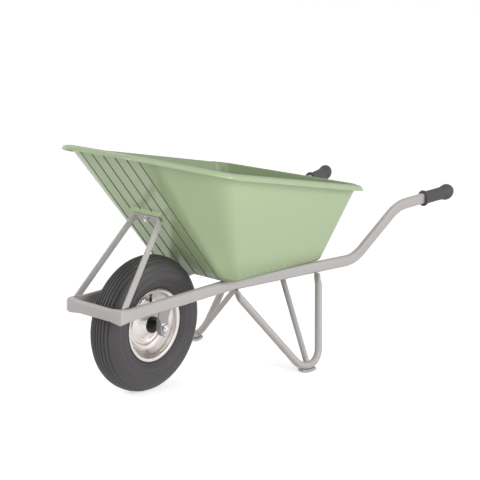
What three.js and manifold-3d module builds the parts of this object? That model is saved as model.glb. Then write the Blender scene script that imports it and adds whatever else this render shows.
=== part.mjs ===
// A single-wheel garden wheelbarrow: a deep plastic tub on an oval-tube frame, with a pneumatic
// wheel, two V-shaped legs and rubber grips. Millimetres, +Z up.
//
// The working frame has its origin on the floor under the axle: +X runs back to the grips and
// +Y is the right-hand side of the person who pushes. The exported group is moved along X at the
// end, so that its origin is on the floor at the middle of the whole length.

import * as THREE from 'three';
import { mergeVertices } from 'three/addons/utils/BufferGeometryUtils.js';
import Module from 'manifold-3d';

const wasm = await Module();
wasm.setup();

// ---------------------------------------------------------------- driving dimensions

// Gaps between touching pieces, and how finely round things are divided.
const FIT = 0.3;                    // gap where two separate pieces touch
const LOOSE = 1.0;                  // radial play round a bolt in its hole
const PROUD = 2;                    // how far a cutting tool reaches past the face it cuts
const TUBE_SIDES = 12;
const ROUND_SIDES = 16;
const TUBE_STEP_DEG = 9;            // turn between two rings on a bend
const LEG_STEP_DEG = 9;
const ROD_STEP_DEG = 15;
const STRAP_STEP_DEG = 20;
const CORNER_STEPS = 5;             // steps on each rounded corner of the tub's outline

// Wheel.
const TYRE_RADIUS = 200;
const TYRE_WIDTH = 96;
const TYRE_SECTION = 100;           // height of the tyre's section, from bead to tread
const TYRE_SQUARENESS = 2.3;        // exponent of the rounded tread outline
const SIDEWALL_DROP = 22;           // lower shoulder of the sidewall, below the section's middle
const SIDEWALL_TUCK = 3.4;          // and how far it lies inside the tyre's widest place
const TREAD_THICKNESS = 9;
const SIDEWALL_THICKNESS = 5;
const BEAD_THICKNESS = 7;
const BEAD_CHAMFER = 3.5;
const TUBE_WALL_RUBBER = 2;
const TUBE_CLEARANCE = 4;
const TUBE_SLIT_DEG = 3;
const WHEEL_STEPS = 40;

const RIM_SHEET = 1.8;
const RIM_WIDTH = 69;               // over the two flanges
const RIM_FLANGE_RADIUS = 106;
const RIM_SEAT_RADIUS = 96.5;
const RIM_WELL_RADIUS = 79;
const RIM_RIDGE_RADIUS = 69.5;      // pressed ring that stiffens the disc
const RIM_RIDGE_HEIGHT = 8.5;
const RIM_RIDGE_HALF = 8;
const RIM_WELD_RADIUS = 57;
const RIM_CONE_HALF = 10.4;         // half width over the discs, midway from hub to weld
const RIM_BARREL_HALF = 24.8;       // half width where the barrel meets the tyre's seat
const RIM_STEPS = 32;
const INNER_TUBE_STEPS = 24;
const INNER_TUBE_ARC_STEPS = 8;     // steps round the inner tube's section

const HUB_LENGTH = 52;
const HUB_RADIUS = 18;
const HUB_WALL = 2.5;
const BUSH_FLANGE_RADIUS = 24.5;
const BUSH_FLANGE_THICKNESS = 4;
const BUSH_COLLAR_RADIUS = 13;
const BUSH_SPIGOT = 12;
const AXLE_RADIUS = 6;
const VALVE_RADIUS = 4;
const VALVE_OFFSET = 16;            // from the wheel's middle plane
const VALVE_TIP_RADIUS = 67;
const VALVE_CAP_LENGTH = 10;
const VALVE_CAP_WALL = 1.2;

// Frame tube and its course, given for one side.
const FRAME_TUBE_HEIGHT = 37;
const FRAME_TUBE_WIDTH = 20;
const FRAME_TUBE_WALL = 1.8;
const CROSSBAR_GAP = 3.1;           // from the tread to the cross tube ahead of it
const FRONT_Z = 271.5;              // the cross tube's middle
const FRONT_FLARE = 9;              // extra height where the tube is crushed at the corner
const FRONT_FLARE_LENGTH = 34;
const RAIL_HALF_SPACING = 95;
const SPLAY_X = 250;                // the rails run parallel up to here
const SPLAY_Z = 289.5;
const SPLAY_SLOPE = 0.1635;
const SPLAY_BEND_RADIUS = 120;
const LOW_BEND_X = 790;
const LOW_BEND_Z = 307.5;
const LOW_BEND_RADIUS = 120;
const HIGH_BEND_X = 985;
const HIGH_BEND_Z = 468.5;
const HIGH_BEND_RADIUS = 150;
const HANDLE_SLOPE = 0.11;
const GRIP_END_X = 1256;

// Grips.
const GRIP_LENGTH = 150;
const GRIP_BODY_HEIGHT = 44;
const GRIP_BODY_WIDTH = 34;
const GRIP_COLLAR_HEIGHT = 55;
const GRIP_COLLAR_WIDTH = 45;
const GRIP_COLLAR_LENGTH = 13;
const GRIP_KNOB_HEIGHT = 55;
const GRIP_KNOB_WIDTH = 46;
const GRIP_KNOB_LENGTH = 36;
const GRIP_END_WALL = 8;
// Shares of the collar's or knob's length, measured from its outer end, and of its full section.
const GRIP_COLLAR_SHAPE = [[1, 0.9], [0.75, 1], [0.25, 1]];
const GRIP_KNOB_SHAPE = [[0.5, 0.97], [0.25, 1], [0.08, 0.85], [0, 0.6]];

// Legs, skids and brace.
const LEG_RADIUS = 11.5;
const LEG_WALL = 1.6;
const LEG_FRONT_X = 272;
const LEG_REAR_X = 622;
const LEG_FRONT_OUTSET = 0;         // how far outside the rail's middle each leg top sits
const LEG_REAR_OUTSET = 7;
const LEG_FLAT_LENGTH = 16;         // each end is pressed flat this far down
const LEG_TAPER_LENGTH = 38;        // and is round again from here
const LEG_FLAT_THICKNESS = 8;
const LEG_FLAT_WIDTH = 26;
const LEG_FLAT_SHIFT = 5;           // the flat lies this far towards the inside of the V
const FOOT_FRONT_X = 467;
const FOOT_REAR_X = 544;
const FOOT_HALF_TRACK = 231;
const FOOT_BEND_RADIUS = 58;
const SKID_THICKNESS = 8;
const SKID_WIDTH = 25;
const SKID_LIFT_ANGLE = 21;         // how far round each bend the skid is carried, in degrees
const BRACE_RADIUS = 9;
const BRACE_TOP_X = 574;
const BRACE_TOP_HALF = 35;
const BRACE_FOOT_INSET = 16;        // the rod lands this far inboard of the foot's centre line
const BRACE_BEND_RADIUS = 22;

// Tub.
const TUB_WALL = 4;
const TUB_FLOOR = 5;
const RIM_FRONT_X = -205;           // outer edge of the lip
const RIM_REAR_X = 673;
const RIM_FRONT_Z = 703;            // bottom edge of the lip's skirt
const RIM_REAR_Z = 562;
const RIM_SAG = 17;
const RIM_HALF_WIDTH = 309;
const RIM_FRONT_HALF = 151;         // half of the lip's straight front edge, up to its slanted cheek
const RIM_CHEEK_X = -42;            // where the slanted cheek meets the straight side
const RIM_FRONT_CORNER = 122;
const RIM_CHEEK_CORNER = 142;
const RIM_REAR_CORNER = 70;
const LIP_WIDTH = 22;
const LIP_SKIRT = 12.5;
const LIP_CROWN = 4;                // the lip's inner edge stands this much above the skirt's top
const LIP_SLANT = 6;                // the skirt's top lies this far inside its foot
const FLOOR_FRONT_X = 199;
const FLOOR_REAR_X = 648;
const FLOOR_SIDE_HALF = 138;        // half width where the floor's cheek meets its side
const FLOOR_REAR_HALF = 158;
const FLOOR_FRONT_HALF = 126;
const FLOOR_CHEEK_X = 243;
const FLOOR_FRONT_CORNER = 16;
const FLOOR_CHEEK_CORNER = 90;
const FLOOR_REAR_CORNER = 24;
const FLOOR_EDGE_RADIUS = 12;        // rounding under the sides and the rear
const FLOOR_FRONT_RADIUS = 40;      // and under the front panel
const GROOVE_COUNT = 6;
const GROOVE_PITCH = 43.8;
const GROOVE_WIDTH = 4;
const GROOVE_DEPTH = 2;
const GROOVE_TOP_MARGIN = 28;
const GROOVE_FOOT_MARGIN = 32;

// Strap that ties the tub's front to the frame.
const STRAP_WIDTH = 21;
const STRAP_THICKNESS = 5;
const STRAP_TOP_Z = 517;            // the seat's middle on the front panel
const STRAP_TOP_HALF = 49;
const STRAP_FOOT_BACK = 17;         // each foot stands behind the cross tube's middle
const STRAP_FOOT_INSET = 3;         // and inside the rail's middle
const STRAP_BEND_RADIUS = 9;
const SEAT_RISE = 7;                // raised pad on the tub's front that the strap lies against
const SEAT_HALF = 58;
const SEAT_HEIGHT = 25;
const LEDGE_RISE = 10;              // rounded ledge over the strap
const LEDGE_HALF = 62;
const LEDGE_RADIUS = 4;

// Cross members and fasteners.
const MEMBER_WIDTH = 40;
const MEMBER_THICKNESS = 4;
const FRONT_MEMBER_X = 300;
const REAR_MEMBER_X = 563;
const FRONT_BOLT_HALF = 62;
const REAR_BOLT_HALF = 92;
const BOLT_RADIUS = 4;
const BOLT_HEAD_RADIUS = 10;
const BOLT_HEAD_HEIGHT = 4.5;
const BOLT_TAIL = 3;
const NUT_ACROSS = 13;
const NUT_HEIGHT = 6.5;
const WASHER_RADIUS = 9;
const WASHER_THICKNESS = 1.6;
const AXLE_NUT_ACROSS = 19;
const AXLE_NUT_HEIGHT = 10;
const AXLE_WASHER_RADIUS = 13;
const AXLE_WASHER_THICKNESS = 2.5;
const AXLE_TAIL = 5;
const EAR_WIDTH = 48;
const EAR_THICKNESS = 5;
const EAR_INNER = 61;               // inner face of the axle bracket, from the middle plane
const EAR_FLANGE = 20;
const EAR_JOGGLE_DROP = 35;         // its joggle starts this far under the rail
const EAR_JOGGLE_RISE = 22;         // and meets the rail's inner face this far above its underside
const EAR_TAB_HEIGHT = 8;

// ---------------------------------------------------------------- materials

const FINISHES = {
  tub: { color: 0xb0c29c, roughness: 0.3, metalness: 0 },
  frame: { color: 0xb9b6b4, roughness: 0.45, metalness: 0.1 },
  zinc: { color: 0xd5d6d4, roughness: 0.28, metalness: 0.9 },
  rim: { color: 0xd8d5d0, roughness: 0.22, metalness: 0.9 },
  tyre: { color: 0x434245, roughness: 0.85, metalness: 0 },
  black: { color: 0x1b1b1c, roughness: 0.5, metalness: 0 },
  grip: { color: 0x4a484b, roughness: 0.8, metalness: 0 },
};

// ---------------------------------------------------------------- geometry helpers

const v3 = (x, y, z) => new THREE.Vector3(x, y, z);
const mirrored = (p, side) => v3(p.x, side * p.y, p.z);
const alongX = (a, b, x) => a.clone().lerp(b, (x - a.x) / (b.x - a.x));

// A geometry with only merged positions, as a manifold solid.
function toSolid(geometry) {
  const bare = (geometry.index ? geometry.toNonIndexed() : geometry.clone());
  bare.deleteAttribute('normal');
  bare.deleteAttribute('uv');
  const merged = mergeVertices(bare, 1e-4);
  return new wasm.Manifold(new wasm.Mesh({
    numProp: 3,
    vertProperties: new Float32Array(merged.attributes.position.array),
    triVerts: new Uint32Array(merged.index.array),
  }));
}

function toGeometry(solid) {
  const mesh = solid.getMesh();
  const geometry = new THREE.BufferGeometry();
  geometry.setAttribute('position', new THREE.Float32BufferAttribute(mesh.vertProperties, 3));
  geometry.setIndex(new THREE.Uint32BufferAttribute(mesh.triVerts, 1));
  geometry.computeVertexNormals();
  return geometry;
}

function join(geometries) {
  return toGeometry(geometries.map(toSolid).reduce((sum, next) => sum.add(next)));
}

function cut(geometry, tools) {
  return toGeometry(tools.map(toSolid).reduce((rest, tool) => rest.subtract(tool), toSolid(geometry)));
}

function placed(geometry, { at = v3(0, 0, 0), turn = null } = {}) {
  const copy = geometry.clone();
  if (turn) copy.applyQuaternion(turn);
  return copy.translate(at.x, at.y, at.z);
}

const turnFromY = (direction) =>
  new THREE.Quaternion().setFromUnitVectors(v3(0, 1, 0), direction.clone().normalize());

// Skin over a run of rings with equal numbers of points. An open run gets a fan over each end;
// a closed run joins its last ring to its first, which makes a bored piece.
function skin(rings, closed = false) {
  const count = rings[0].length;
  const points = rings.flat();
  const faces = [];
  const spans = closed ? rings.length : rings.length - 1;
  for (let i = 0; i < spans; i += 1) {
    const here = i * count;
    const next = ((i + 1) % rings.length) * count;
    for (let j = 0; j < count; j += 1) {
      const k = (j + 1) % count;
      faces.push(here + j, here + k, next + k, here + j, next + k, next + j);
    }
  }
  if (!closed) {
    for (const [ring, start, flip] of [[rings[0], 0, true], [rings.at(-1), points.length - count, false]]) {
      const middle = ring.reduce((sum, p) => sum.add(p), v3(0, 0, 0)).divideScalar(count);
      const hub = points.push(middle) - 1;
      for (let j = 0; j < count; j += 1) {
        const pair = [start + j, start + ((j + 1) % count)];
        faces.push(hub, ...(flip ? pair.reverse() : pair));
      }
    }
  }
  const geometry = new THREE.BufferGeometry().setFromPoints(points);
  geometry.setIndex(signedVolume(points, faces) < 0 ? faces.reverse() : faces);
  geometry.computeVertexNormals();
  return geometry;
}

function signedVolume(points, faces) {
  let volume = 0;
  for (let i = 0; i < faces.length; i += 3) {
    const [a, b, c] = [points[faces[i]], points[faces[i + 1]], points[faces[i + 2]]];
    volume += a.dot(b.clone().cross(c));
  }
  return volume;
}

// The corners of a polyline rounded with arcs; each station has a point and a tangent.
function roundedPath(corners, radii, stepDeg = TUBE_STEP_DEG) {
  const stations = [];
  const last = corners.length - 1;
  const heading = (i) => corners[i + 1].clone().sub(corners[i]).normalize();
  stations.push({ point: corners[0].clone(), tangent: heading(0) });
  for (let i = 1; i < last; i += 1) {
    const before = heading(i - 1);
    const after = heading(i);
    const turn = before.angleTo(after);
    const reach = radii[i - 1] * Math.tan(turn / 2);
    const steps = Math.max(2, Math.ceil(THREE.MathUtils.radToDeg(turn) / stepDeg));
    const inward = after.clone().sub(before).normalize();
    const centre = corners[i].clone().addScaledVector(inward, radii[i - 1] / Math.cos(turn / 2));
    const axis = before.clone().cross(after).normalize();
    const spoke = corners[i].clone().addScaledVector(before, -reach).sub(centre);
    for (let j = 0; j <= steps; j += 1) {
      const angle = (turn * j) / steps;
      stations.push({
        point: centre.clone().add(spoke.clone().applyAxisAngle(axis, angle)),
        tangent: before.clone().applyAxisAngle(axis, angle),
      });
    }
  }
  stations.push({ point: corners[last].clone(), tangent: heading(last - 1) });
  return stations;
}

// A ring of section points [across, up] set square to a station of a path.
function ringAt({ point, tangent }, across, section) {
  const side = across.clone().addScaledVector(tangent, -across.dot(tangent)).normalize();
  const up = tangent.clone().cross(side);
  return section.map(([a, b]) => point.clone().addScaledVector(side, a).addScaledVector(up, b));
}

// Slides a ring's points along a direction until they lie on a plane.
function trimmed(ring, direction, plane) {
  return ring.map((p) => {
    const distance = plane.distanceToPoint(p);
    return p.clone().addScaledVector(direction, -distance / plane.normal.dot(direction));
  });
}

// Outline of a flat-sided oval: two half circles and the straight sides between them.
function oval(width, height, sides = TUBE_SIDES) {
  const radius = Math.min(width, height) / 2;
  const shiftA = width / 2 - radius;
  const shiftB = height / 2 - radius;
  return Array.from({ length: sides }, (_, i) => {
    const angle = (2 * Math.PI * (i + 0.5)) / sides;
    return [
      radius * Math.cos(angle) + Math.sign(Math.cos(angle)) * shiftA,
      radius * Math.sin(angle) + Math.sign(Math.sin(angle)) * shiftB,
    ];
  });
}

function ellipse(width, height, sides = TUBE_SIDES) {
  return Array.from({ length: sides }, (_, i) => {
    const angle = (2 * Math.PI * (i + 0.5)) / sides;
    return [(width / 2) * Math.cos(angle), (height / 2) * Math.sin(angle)];
  });
}

const rectangle = (width, height) => [[-1, -1], [1, -1], [1, 1], [-1, 1]]
  .map(([a, b]) => [(a * width) / 2, (b * height) / 2]);

// Closed profile of bent sheet: the line's points moved half a thickness to either side.
function sheetProfile(line, thickness) {
  const side = (sign) => line.map(([r, y], i) => {
    const [r0, y0] = line[Math.max(0, i - 1)];
    const [r1, y1] = line[Math.min(line.length - 1, i + 1)];
    const length = Math.hypot(r1 - r0, y1 - y0);
    const shift = (sign * thickness) / 2 / length;
    return [r - (y1 - y0) * shift, y + (r1 - r0) * shift];
  });
  return [...side(1), ...side(-1).reverse()];
}

// Turned piece about the Y axis, from a closed profile of [radius, along] points.
function turned(profile, steps = ROUND_SIDES) {
  const loop = [...profile, profile[0]].map(([r, y]) => new THREE.Vector2(r, y));
  const geometry = new THREE.LatheGeometry(loop, steps);
  return toGeometry(outward(geometry));
}

function outward(geometry) {
  const flat = geometry.toNonIndexed();
  const at = flat.attributes.position;
  const points = Array.from({ length: at.count }, (_, i) => v3().fromBufferAttribute(at, i));
  const order = points.map((_, i) => i);
  if (signedVolume(points, order) < 0) {
    flat.setFromPoints(points.reverse());
  }
  return toSolid(flat);
}

const ringProfile = (inner, outer, from, to) => [[inner, from], [outer, from], [outer, to], [inner, to]];
const rod = (radius, length, sides = ROUND_SIDES) =>
  new THREE.CylinderGeometry(radius, radius, length, sides);
const hexNut = (across, height, bore) =>
  cut(rod(across / Math.sqrt(3), height, 6), [rod(bore, height + 2 * PROUD, ROUND_SIDES)]);
const washer = (outer, thickness, bore) =>
  cut(rod(outer, thickness), [rod(bore, thickness + 2 * PROUD)]);

// Carriage bolt along +Y with the underside of its domed head at the origin.
function carriageBolt(radius, headRadius, headHeight, length) {
  const dome = [0, 30, 60].map((deg) => {
    const angle = THREE.MathUtils.degToRad(deg);
    return [headRadius * Math.cos(angle), -headHeight * Math.sin(angle)];
  });
  return turned([[0, length], [radius, length], [radius, 0], ...dome, [0, -headHeight]], TUBE_SIDES);
}

const assembly = new THREE.Group();

function add(name, finish, geometry, parent = assembly) {
  const mesh = new THREE.Mesh(geometry, new THREE.MeshStandardMaterial(FINISHES[finish]));
  mesh.name = name;
  parent.add(mesh);
  return mesh;
}

const SIDES = [['left', -1], ['right', 1]];

// ---------------------------------------------------------------- course of the rails

// The cross tube stands clear of the tread, on the line from the axle to the tube's middle.
const frontRise = FRONT_Z - TYRE_RADIUS;
const tubeReach = FRAME_TUBE_WIDTH / 2
  + ((FRAME_TUBE_HEIGHT - FRAME_TUBE_WIDTH) / 2) * (frontRise / TYRE_RADIUS);
const frontX = -Math.sqrt((TYRE_RADIUS + CROSSBAR_GAP + tubeReach) ** 2 - frontRise ** 2);
const frontCorner = v3(frontX, RAIL_HALF_SPACING, FRONT_Z);
const splayCorner = v3(SPLAY_X, RAIL_HALF_SPACING, SPLAY_Z);
const railY = (x) => RAIL_HALF_SPACING + SPLAY_SLOPE * Math.max(0, x - SPLAY_X);
const lowCorner = v3(LOW_BEND_X, railY(LOW_BEND_X), LOW_BEND_Z);
const highCorner = v3(HIGH_BEND_X, railY(HIGH_BEND_X), HIGH_BEND_Z);
const handleZ = (x) => HIGH_BEND_Z + HANDLE_SLOPE * (x - HIGH_BEND_X);
const gripEnd = v3(GRIP_END_X, railY(GRIP_END_X), handleZ(GRIP_END_X));
const handleAxis = gripEnd.clone().sub(highCorner).normalize();
const railEnd = gripEnd.clone().addScaledVector(handleAxis, -(GRIP_END_WALL + FIT));
const railZ = (x) => (x < SPLAY_X
  ? alongX(frontCorner, splayCorner, x).z
  : alongX(splayCorner, lowCorner, x).z);
const railTop = (x) => railZ(x) + FRAME_TUBE_HEIGHT / 2;
const railBottom = (x) => railZ(x) - FRAME_TUBE_HEIGHT / 2;

// ---------------------------------------------------------------- frame

// The tube's height near a front corner, where it is crushed and spread.
function flared(distance, inset) {
  const near = Math.max(0, 1 - distance / FRONT_FLARE_LENGTH);
  return oval(FRAME_TUBE_WIDTH - 2 * inset, FRAME_TUBE_HEIGHT + FRONT_FLARE * near - 2 * inset);
}

function frameTube(stations, across, ends, distances) {
  const shell = (inset) => stations.map((station, i) => {
    const ring = ringAt(station, across(station.tangent), flared(distances[i], inset));
    return ends[i] ? trimmed(ring, station.tangent, ends[i]) : ring;
  });
  return skin([...shell(0), ...shell(FRAME_TUBE_WALL).reverse()], true);
}

// The mitre between a rail and the cross tube, set back by half the gap on the given piece.
function mitre(side, sign) {
  const normal = v3(1, side, 0).normalize();
  const through = mirrored(frontCorner, side).addScaledVector(normal, (sign * FIT) / 2);
  return new THREE.Plane().setFromNormalAndCoplanarPoint(normal, through);
}

for (const [name, side] of SIDES) {
  const flareEnd = alongX(frontCorner, splayCorner, frontX + FRONT_FLARE_LENGTH);
  const corners = [frontCorner, splayCorner, lowCorner, highCorner, railEnd].map((p) => mirrored(p, side));
  const stations = roundedPath(corners, [SPLAY_BEND_RADIUS, LOW_BEND_RADIUS, HIGH_BEND_RADIUS]);
  stations.splice(1, 0, { point: mirrored(flareEnd, side), tangent: stations[0].tangent.clone() });
  const distances = stations.map(({ point }) => point.x - frontX);
  const horizontal = (tangent) => tangent.clone().cross(v3(0, 0, 1));
  add(`${name}_rail`, 'frame', frameTube(stations, horizontal, { 0: mitre(side, 1) }, distances));
}

{
  const half = RAIL_HALF_SPACING;
  const flare = FRONT_FLARE_LENGTH;
  const stops = [-half, -half + flare, half - flare, half];
  const stations = stops.map((y) => ({ point: v3(frontX, y, FRONT_Z), tangent: v3(0, 1, 0) }));
  const distances = stops.map((y) => half - Math.abs(y));
  const ends = { 0: mitre(-1, -1), 3: mitre(1, -1) };
  add('front_crossbar', 'frame', frameTube(stations, () => v3(1, 0, 0), ends, distances));
}

// Grip: a rubber sleeve over the tube's end, with a collar and a round end knob.
for (const [name, side] of SIDES) {
  const axis = mirrored(handleAxis, side);
  const end = mirrored(gripEnd, side);
  const across = axis.clone().cross(v3(0, 0, 1));
  const at = (back, section) => ringAt(
    { point: end.clone().addScaledVector(axis, -back), tangent: axis }, across, section);
  const bore = oval(FRAME_TUBE_WIDTH + 2 * FIT, FRAME_TUBE_HEIGHT + 2 * FIT);
  const collar = (part) => ellipse(GRIP_COLLAR_WIDTH * part, GRIP_COLLAR_HEIGHT * part);
  const body = ellipse(GRIP_BODY_WIDTH, GRIP_BODY_HEIGHT);
  const knob = (part) => ellipse(GRIP_KNOB_WIDTH * part, GRIP_KNOB_HEIGHT * part);
  const collarEnd = GRIP_LENGTH - GRIP_COLLAR_LENGTH;
  const rings = [
    at(GRIP_END_WALL, bore),
    at(GRIP_LENGTH, bore),
    ...GRIP_COLLAR_SHAPE.map(([along, part]) => at(collarEnd + GRIP_COLLAR_LENGTH * along, collar(part))),
    at(collarEnd, body),
    at(GRIP_KNOB_LENGTH, body),
    ...GRIP_KNOB_SHAPE.map(([along, part]) => at(GRIP_KNOB_LENGTH * along, knob(part))),
  ];
  add(`${name}_grip`, 'grip', skin(rings));
}

// ---------------------------------------------------------------- legs, skids and brace

const footY = (x) => FOOT_HALF_TRACK + SPLAY_SLOPE * (x - (FOOT_FRONT_X + FOOT_REAR_X) / 2);
const footZ = LEG_RADIUS + FIT + SKID_THICKNESS;
const legTop = (x, outset) => v3(x, railY(x) + outset, railBottom(x) - FIT);

function legStations(side) {
  const corners = [
    legTop(LEG_FRONT_X, LEG_FRONT_OUTSET),
    v3(FOOT_FRONT_X, footY(FOOT_FRONT_X), footZ),
    v3(FOOT_REAR_X, footY(FOOT_REAR_X), footZ),
    legTop(LEG_REAR_X, LEG_REAR_OUTSET),
  ].map((p) => mirrored(p, side));
  return roundedPath(corners, [FOOT_BEND_RADIUS, FOOT_BEND_RADIUS], LEG_STEP_DEG);
}

// A V-shaped leg of round tube whose two ends are flattened against the rail's underside.
function legShape(side, grow = 0) {
  const stations = legStations(side);
  const [first, last] = [stations[0], stations.at(-1)];
  const from = (station, distance) => ({
    point: station.point.clone().addScaledVector(station.tangent, distance),
    tangent: station.tangent.clone(),
  });
  const run = [first, from(first, LEG_FLAT_LENGTH), from(first, LEG_TAPER_LENGTH), ...stations.slice(1, -1),
    from(last, -LEG_TAPER_LENGTH), from(last, -LEG_FLAT_LENGTH), last];
  const across = first.tangent.clone().cross(last.tangent).normalize();
  const under = (x) => new THREE.Plane().setFromNormalAndCoplanarPoint(
    v3(0, 0, 1), v3(x, 0, railBottom(x) - FIT));
  const shell = (inset) => run.map((station, i) => {
    const isFlat = i < 2 || i > run.length - 3;
    const section = isFlat
      ? oval(LEG_FLAT_WIDTH - 2 * inset, LEG_FLAT_THICKNESS - 2 * inset)
        .map(([a, b]) => [a, b - LEG_FLAT_SHIFT])
      : oval(2 * (LEG_RADIUS - inset), 2 * (LEG_RADIUS - inset));
    const ring = ringAt(station, across, section);
    if (i === 0) return trimmed(ring, station.tangent, under(LEG_FRONT_X));
    if (i === run.length - 1) return trimmed(ring, station.tangent, under(LEG_REAR_X));
    return ring;
  });
  return grow ? skin(shell(-grow)) : skin([...shell(0), ...shell(LEG_WALL).reverse()], true);
}

// A bent strip welded under the foot; its middle stretch is flat on the floor.
function skidShape(side) {
  const all = legStations(side).slice(1, -1);
  const carried = all.filter(({ tangent }) =>
    Math.abs(THREE.MathUtils.radToDeg(Math.asin(tangent.z))) < SKID_LIFT_ANGLE);
  const drop = LEG_RADIUS + FIT + SKID_THICKNESS / 2;
  const section = rectangle(SKID_WIDTH, SKID_THICKNESS).map(([a, b]) => [a, b - drop]);
  return skin(carried.map((station) => ringAt(station, v3(0, 0, 1).cross(station.tangent), section)));
}

for (const [name, side] of SIDES) {
  add(`${name}_leg`, 'frame', legShape(side));
  add(`${name}_skid`, 'frame', skidShape(side));
}

// One rod from foot to foot, bent over under the tub.
const floorSlope = (LOW_BEND_Z - SPLAY_Z) / (LOW_BEND_X - SPLAY_X);
const memberTop = (x) => railTop(SPLAY_X) + floorSlope * (x - SPLAY_X);
const floorUnder = (x) => memberTop(x) + FIT;
const memberUnder = (x) => memberTop(x) - MEMBER_THICKNESS;
const braceTopZ = memberUnder(BRACE_TOP_X) - floorSlope * MEMBER_WIDTH / 2 - FIT - BRACE_RADIUS;
{
  const foot = v3((FOOT_FRONT_X + FOOT_REAR_X) / 2, FOOT_HALF_TRACK - BRACE_FOOT_INSET, footZ);
  const shoulder = v3(BRACE_TOP_X, BRACE_TOP_HALF, braceTopZ);
  const corners = [mirrored(foot, -1), mirrored(shoulder, -1), shoulder, foot];
  const stations = roundedPath(corners, [BRACE_BEND_RADIUS, BRACE_BEND_RADIUS], ROD_STEP_DEG);
  const circle = oval(2 * BRACE_RADIUS, 2 * BRACE_RADIUS);
  const whole = skin(stations.map((station) => ringAt(station, v3(1, 0, 0), circle)));
  add('leg_brace', 'frame', cut(whole, SIDES.map(([, side]) => legShape(side, FIT))));
}

// ---------------------------------------------------------------- tub

// A closed plan outline from the corners of its right-hand half, front to rear. The outline is
// moved inward by the inset, and each corner is then rounded by its radius less the inset.
function planOutline(corners, radii, inset) {
  const run = [[corners[0][0], 0], ...corners, [corners.at(-1)[0], 0]]
    .map(([x, y]) => new THREE.Vector2(x, y));
  const headings = run.slice(1).map((p, i) => p.clone().sub(run[i]).normalize());
  const moved = run.map((p, i) => {
    const before = headings[Math.max(0, i - 1)];
    const after = headings[Math.min(headings.length - 1, i)];
    const inward = new THREE.Vector2(before.y + after.y, -before.x - after.x).normalize();
    return p.clone().addScaledVector(inward, inset / Math.cos(before.angleTo(after) / 2));
  });
  const reaches = radii.map((radius, i) => ({
    radius: Math.max(radius - inset, FIT),
    turn: headings[i].angleTo(headings[i + 1]),
  }));
  const half = reaches.flatMap(({ radius, turn }, i) => {
    const [before, after, at] = [headings[i], headings[i + 1], moved[i + 1]];
    const inward = after.clone().sub(before).normalize();
    const centre = at.clone().addScaledVector(inward, radius / Math.cos(turn / 2));
    const spoke = at.clone().addScaledVector(before, -radius * Math.tan(turn / 2)).sub(centre);
    return Array.from({ length: CORNER_STEPS + 1 }, (_, j) => centre.clone().add(
      spoke.clone().rotateAround(new THREE.Vector2(), -(turn * j) / CORNER_STEPS)));
  });
  return [...half, ...half.map((p) => new THREE.Vector2(p.x, -p.y)).reverse()];
}

const rimOutline = (inset) => planOutline(
  [[RIM_FRONT_X, RIM_FRONT_HALF], [RIM_CHEEK_X, RIM_HALF_WIDTH], [RIM_REAR_X, RIM_HALF_WIDTH]],
  [RIM_FRONT_CORNER, RIM_CHEEK_CORNER, RIM_REAR_CORNER], inset);
const floorOutline = (inset) => planOutline(
  [[FLOOR_FRONT_X, FLOOR_FRONT_HALF], [FLOOR_CHEEK_X, FLOOR_SIDE_HALF], [FLOOR_REAR_X, FLOOR_REAR_HALF]],
  [FLOOR_FRONT_CORNER, FLOOR_CHEEK_CORNER, FLOOR_REAR_CORNER], inset);

function rimHeight(x) {
  const t = (x - RIM_FRONT_X) / (RIM_REAR_X - RIM_FRONT_X);
  return THREE.MathUtils.lerp(RIM_FRONT_Z, RIM_REAR_Z, t) - 4 * RIM_SAG * t * (1 - t);
}
const rimRing = (inset, rise) => rimOutline(inset).map((p) => v3(p.x, p.y, rimHeight(p.x) + rise));
const floorRing = (inset, rise) => floorOutline(inset).map((p) => v3(p.x, p.y, floorUnder(p.x) + rise));

const lipTop = LIP_SKIRT + LIP_CROWN;
const wallTop = rimRing(LIP_WIDTH, lipTop - TUB_WALL);
const wallFoot = floorRing(0, 0);
const cavityTop = rimRing(LIP_WIDTH + TUB_WALL, lipTop);
const cavityFoot = floorRing(TUB_WALL, TUB_FLOOR);

// The rounding under the wall, which grows from the sides towards the front panel.
const footRadius = (x) => THREE.MathUtils.lerp(FLOOR_FRONT_RADIUS, FLOOR_EDGE_RADIUS,
  THREE.MathUtils.smoothstep(x, FLOOR_FRONT_X, FLOOR_CHEEK_X));

// The wall's foot is rounded into the floor: points on the corner's quadratic curve.
function roundedFoot(foot, top, inset) {
  const middle = foot.reduce((sum, p) => sum.add(p), v3(0, 0, 0)).divideScalar(foot.length);
  return [0, 0.5, 1].map((t) => foot.map((p, i) => {
    const radius = footRadius(p.x) - inset;
    const up = top[i].clone().sub(p).normalize().multiplyScalar(radius);
    const inward = middle.clone().sub(p).setZ(0).normalize().multiplyScalar(radius);
    inward.z = floorSlope * inward.x;
    return p.clone().addScaledVector(inward, (1 - t) ** 2).addScaledVector(up, t ** 2);
  }));
}

const shell = skin([
  ...roundedFoot(wallFoot, wallTop, 0),
  wallTop,
  rimRing(LIP_SLANT + TUB_WALL, LIP_SKIRT - TUB_WALL),
  rimRing(TUB_WALL, 0),
  rimRing(0, 0),
  rimRing(LIP_SLANT, LIP_SKIRT),
  rimRing(LIP_WIDTH, lipTop),
  cavityTop,
  ...roundedFoot(cavityFoot, cavityTop, TUB_WALL).reverse(),
]);

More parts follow.
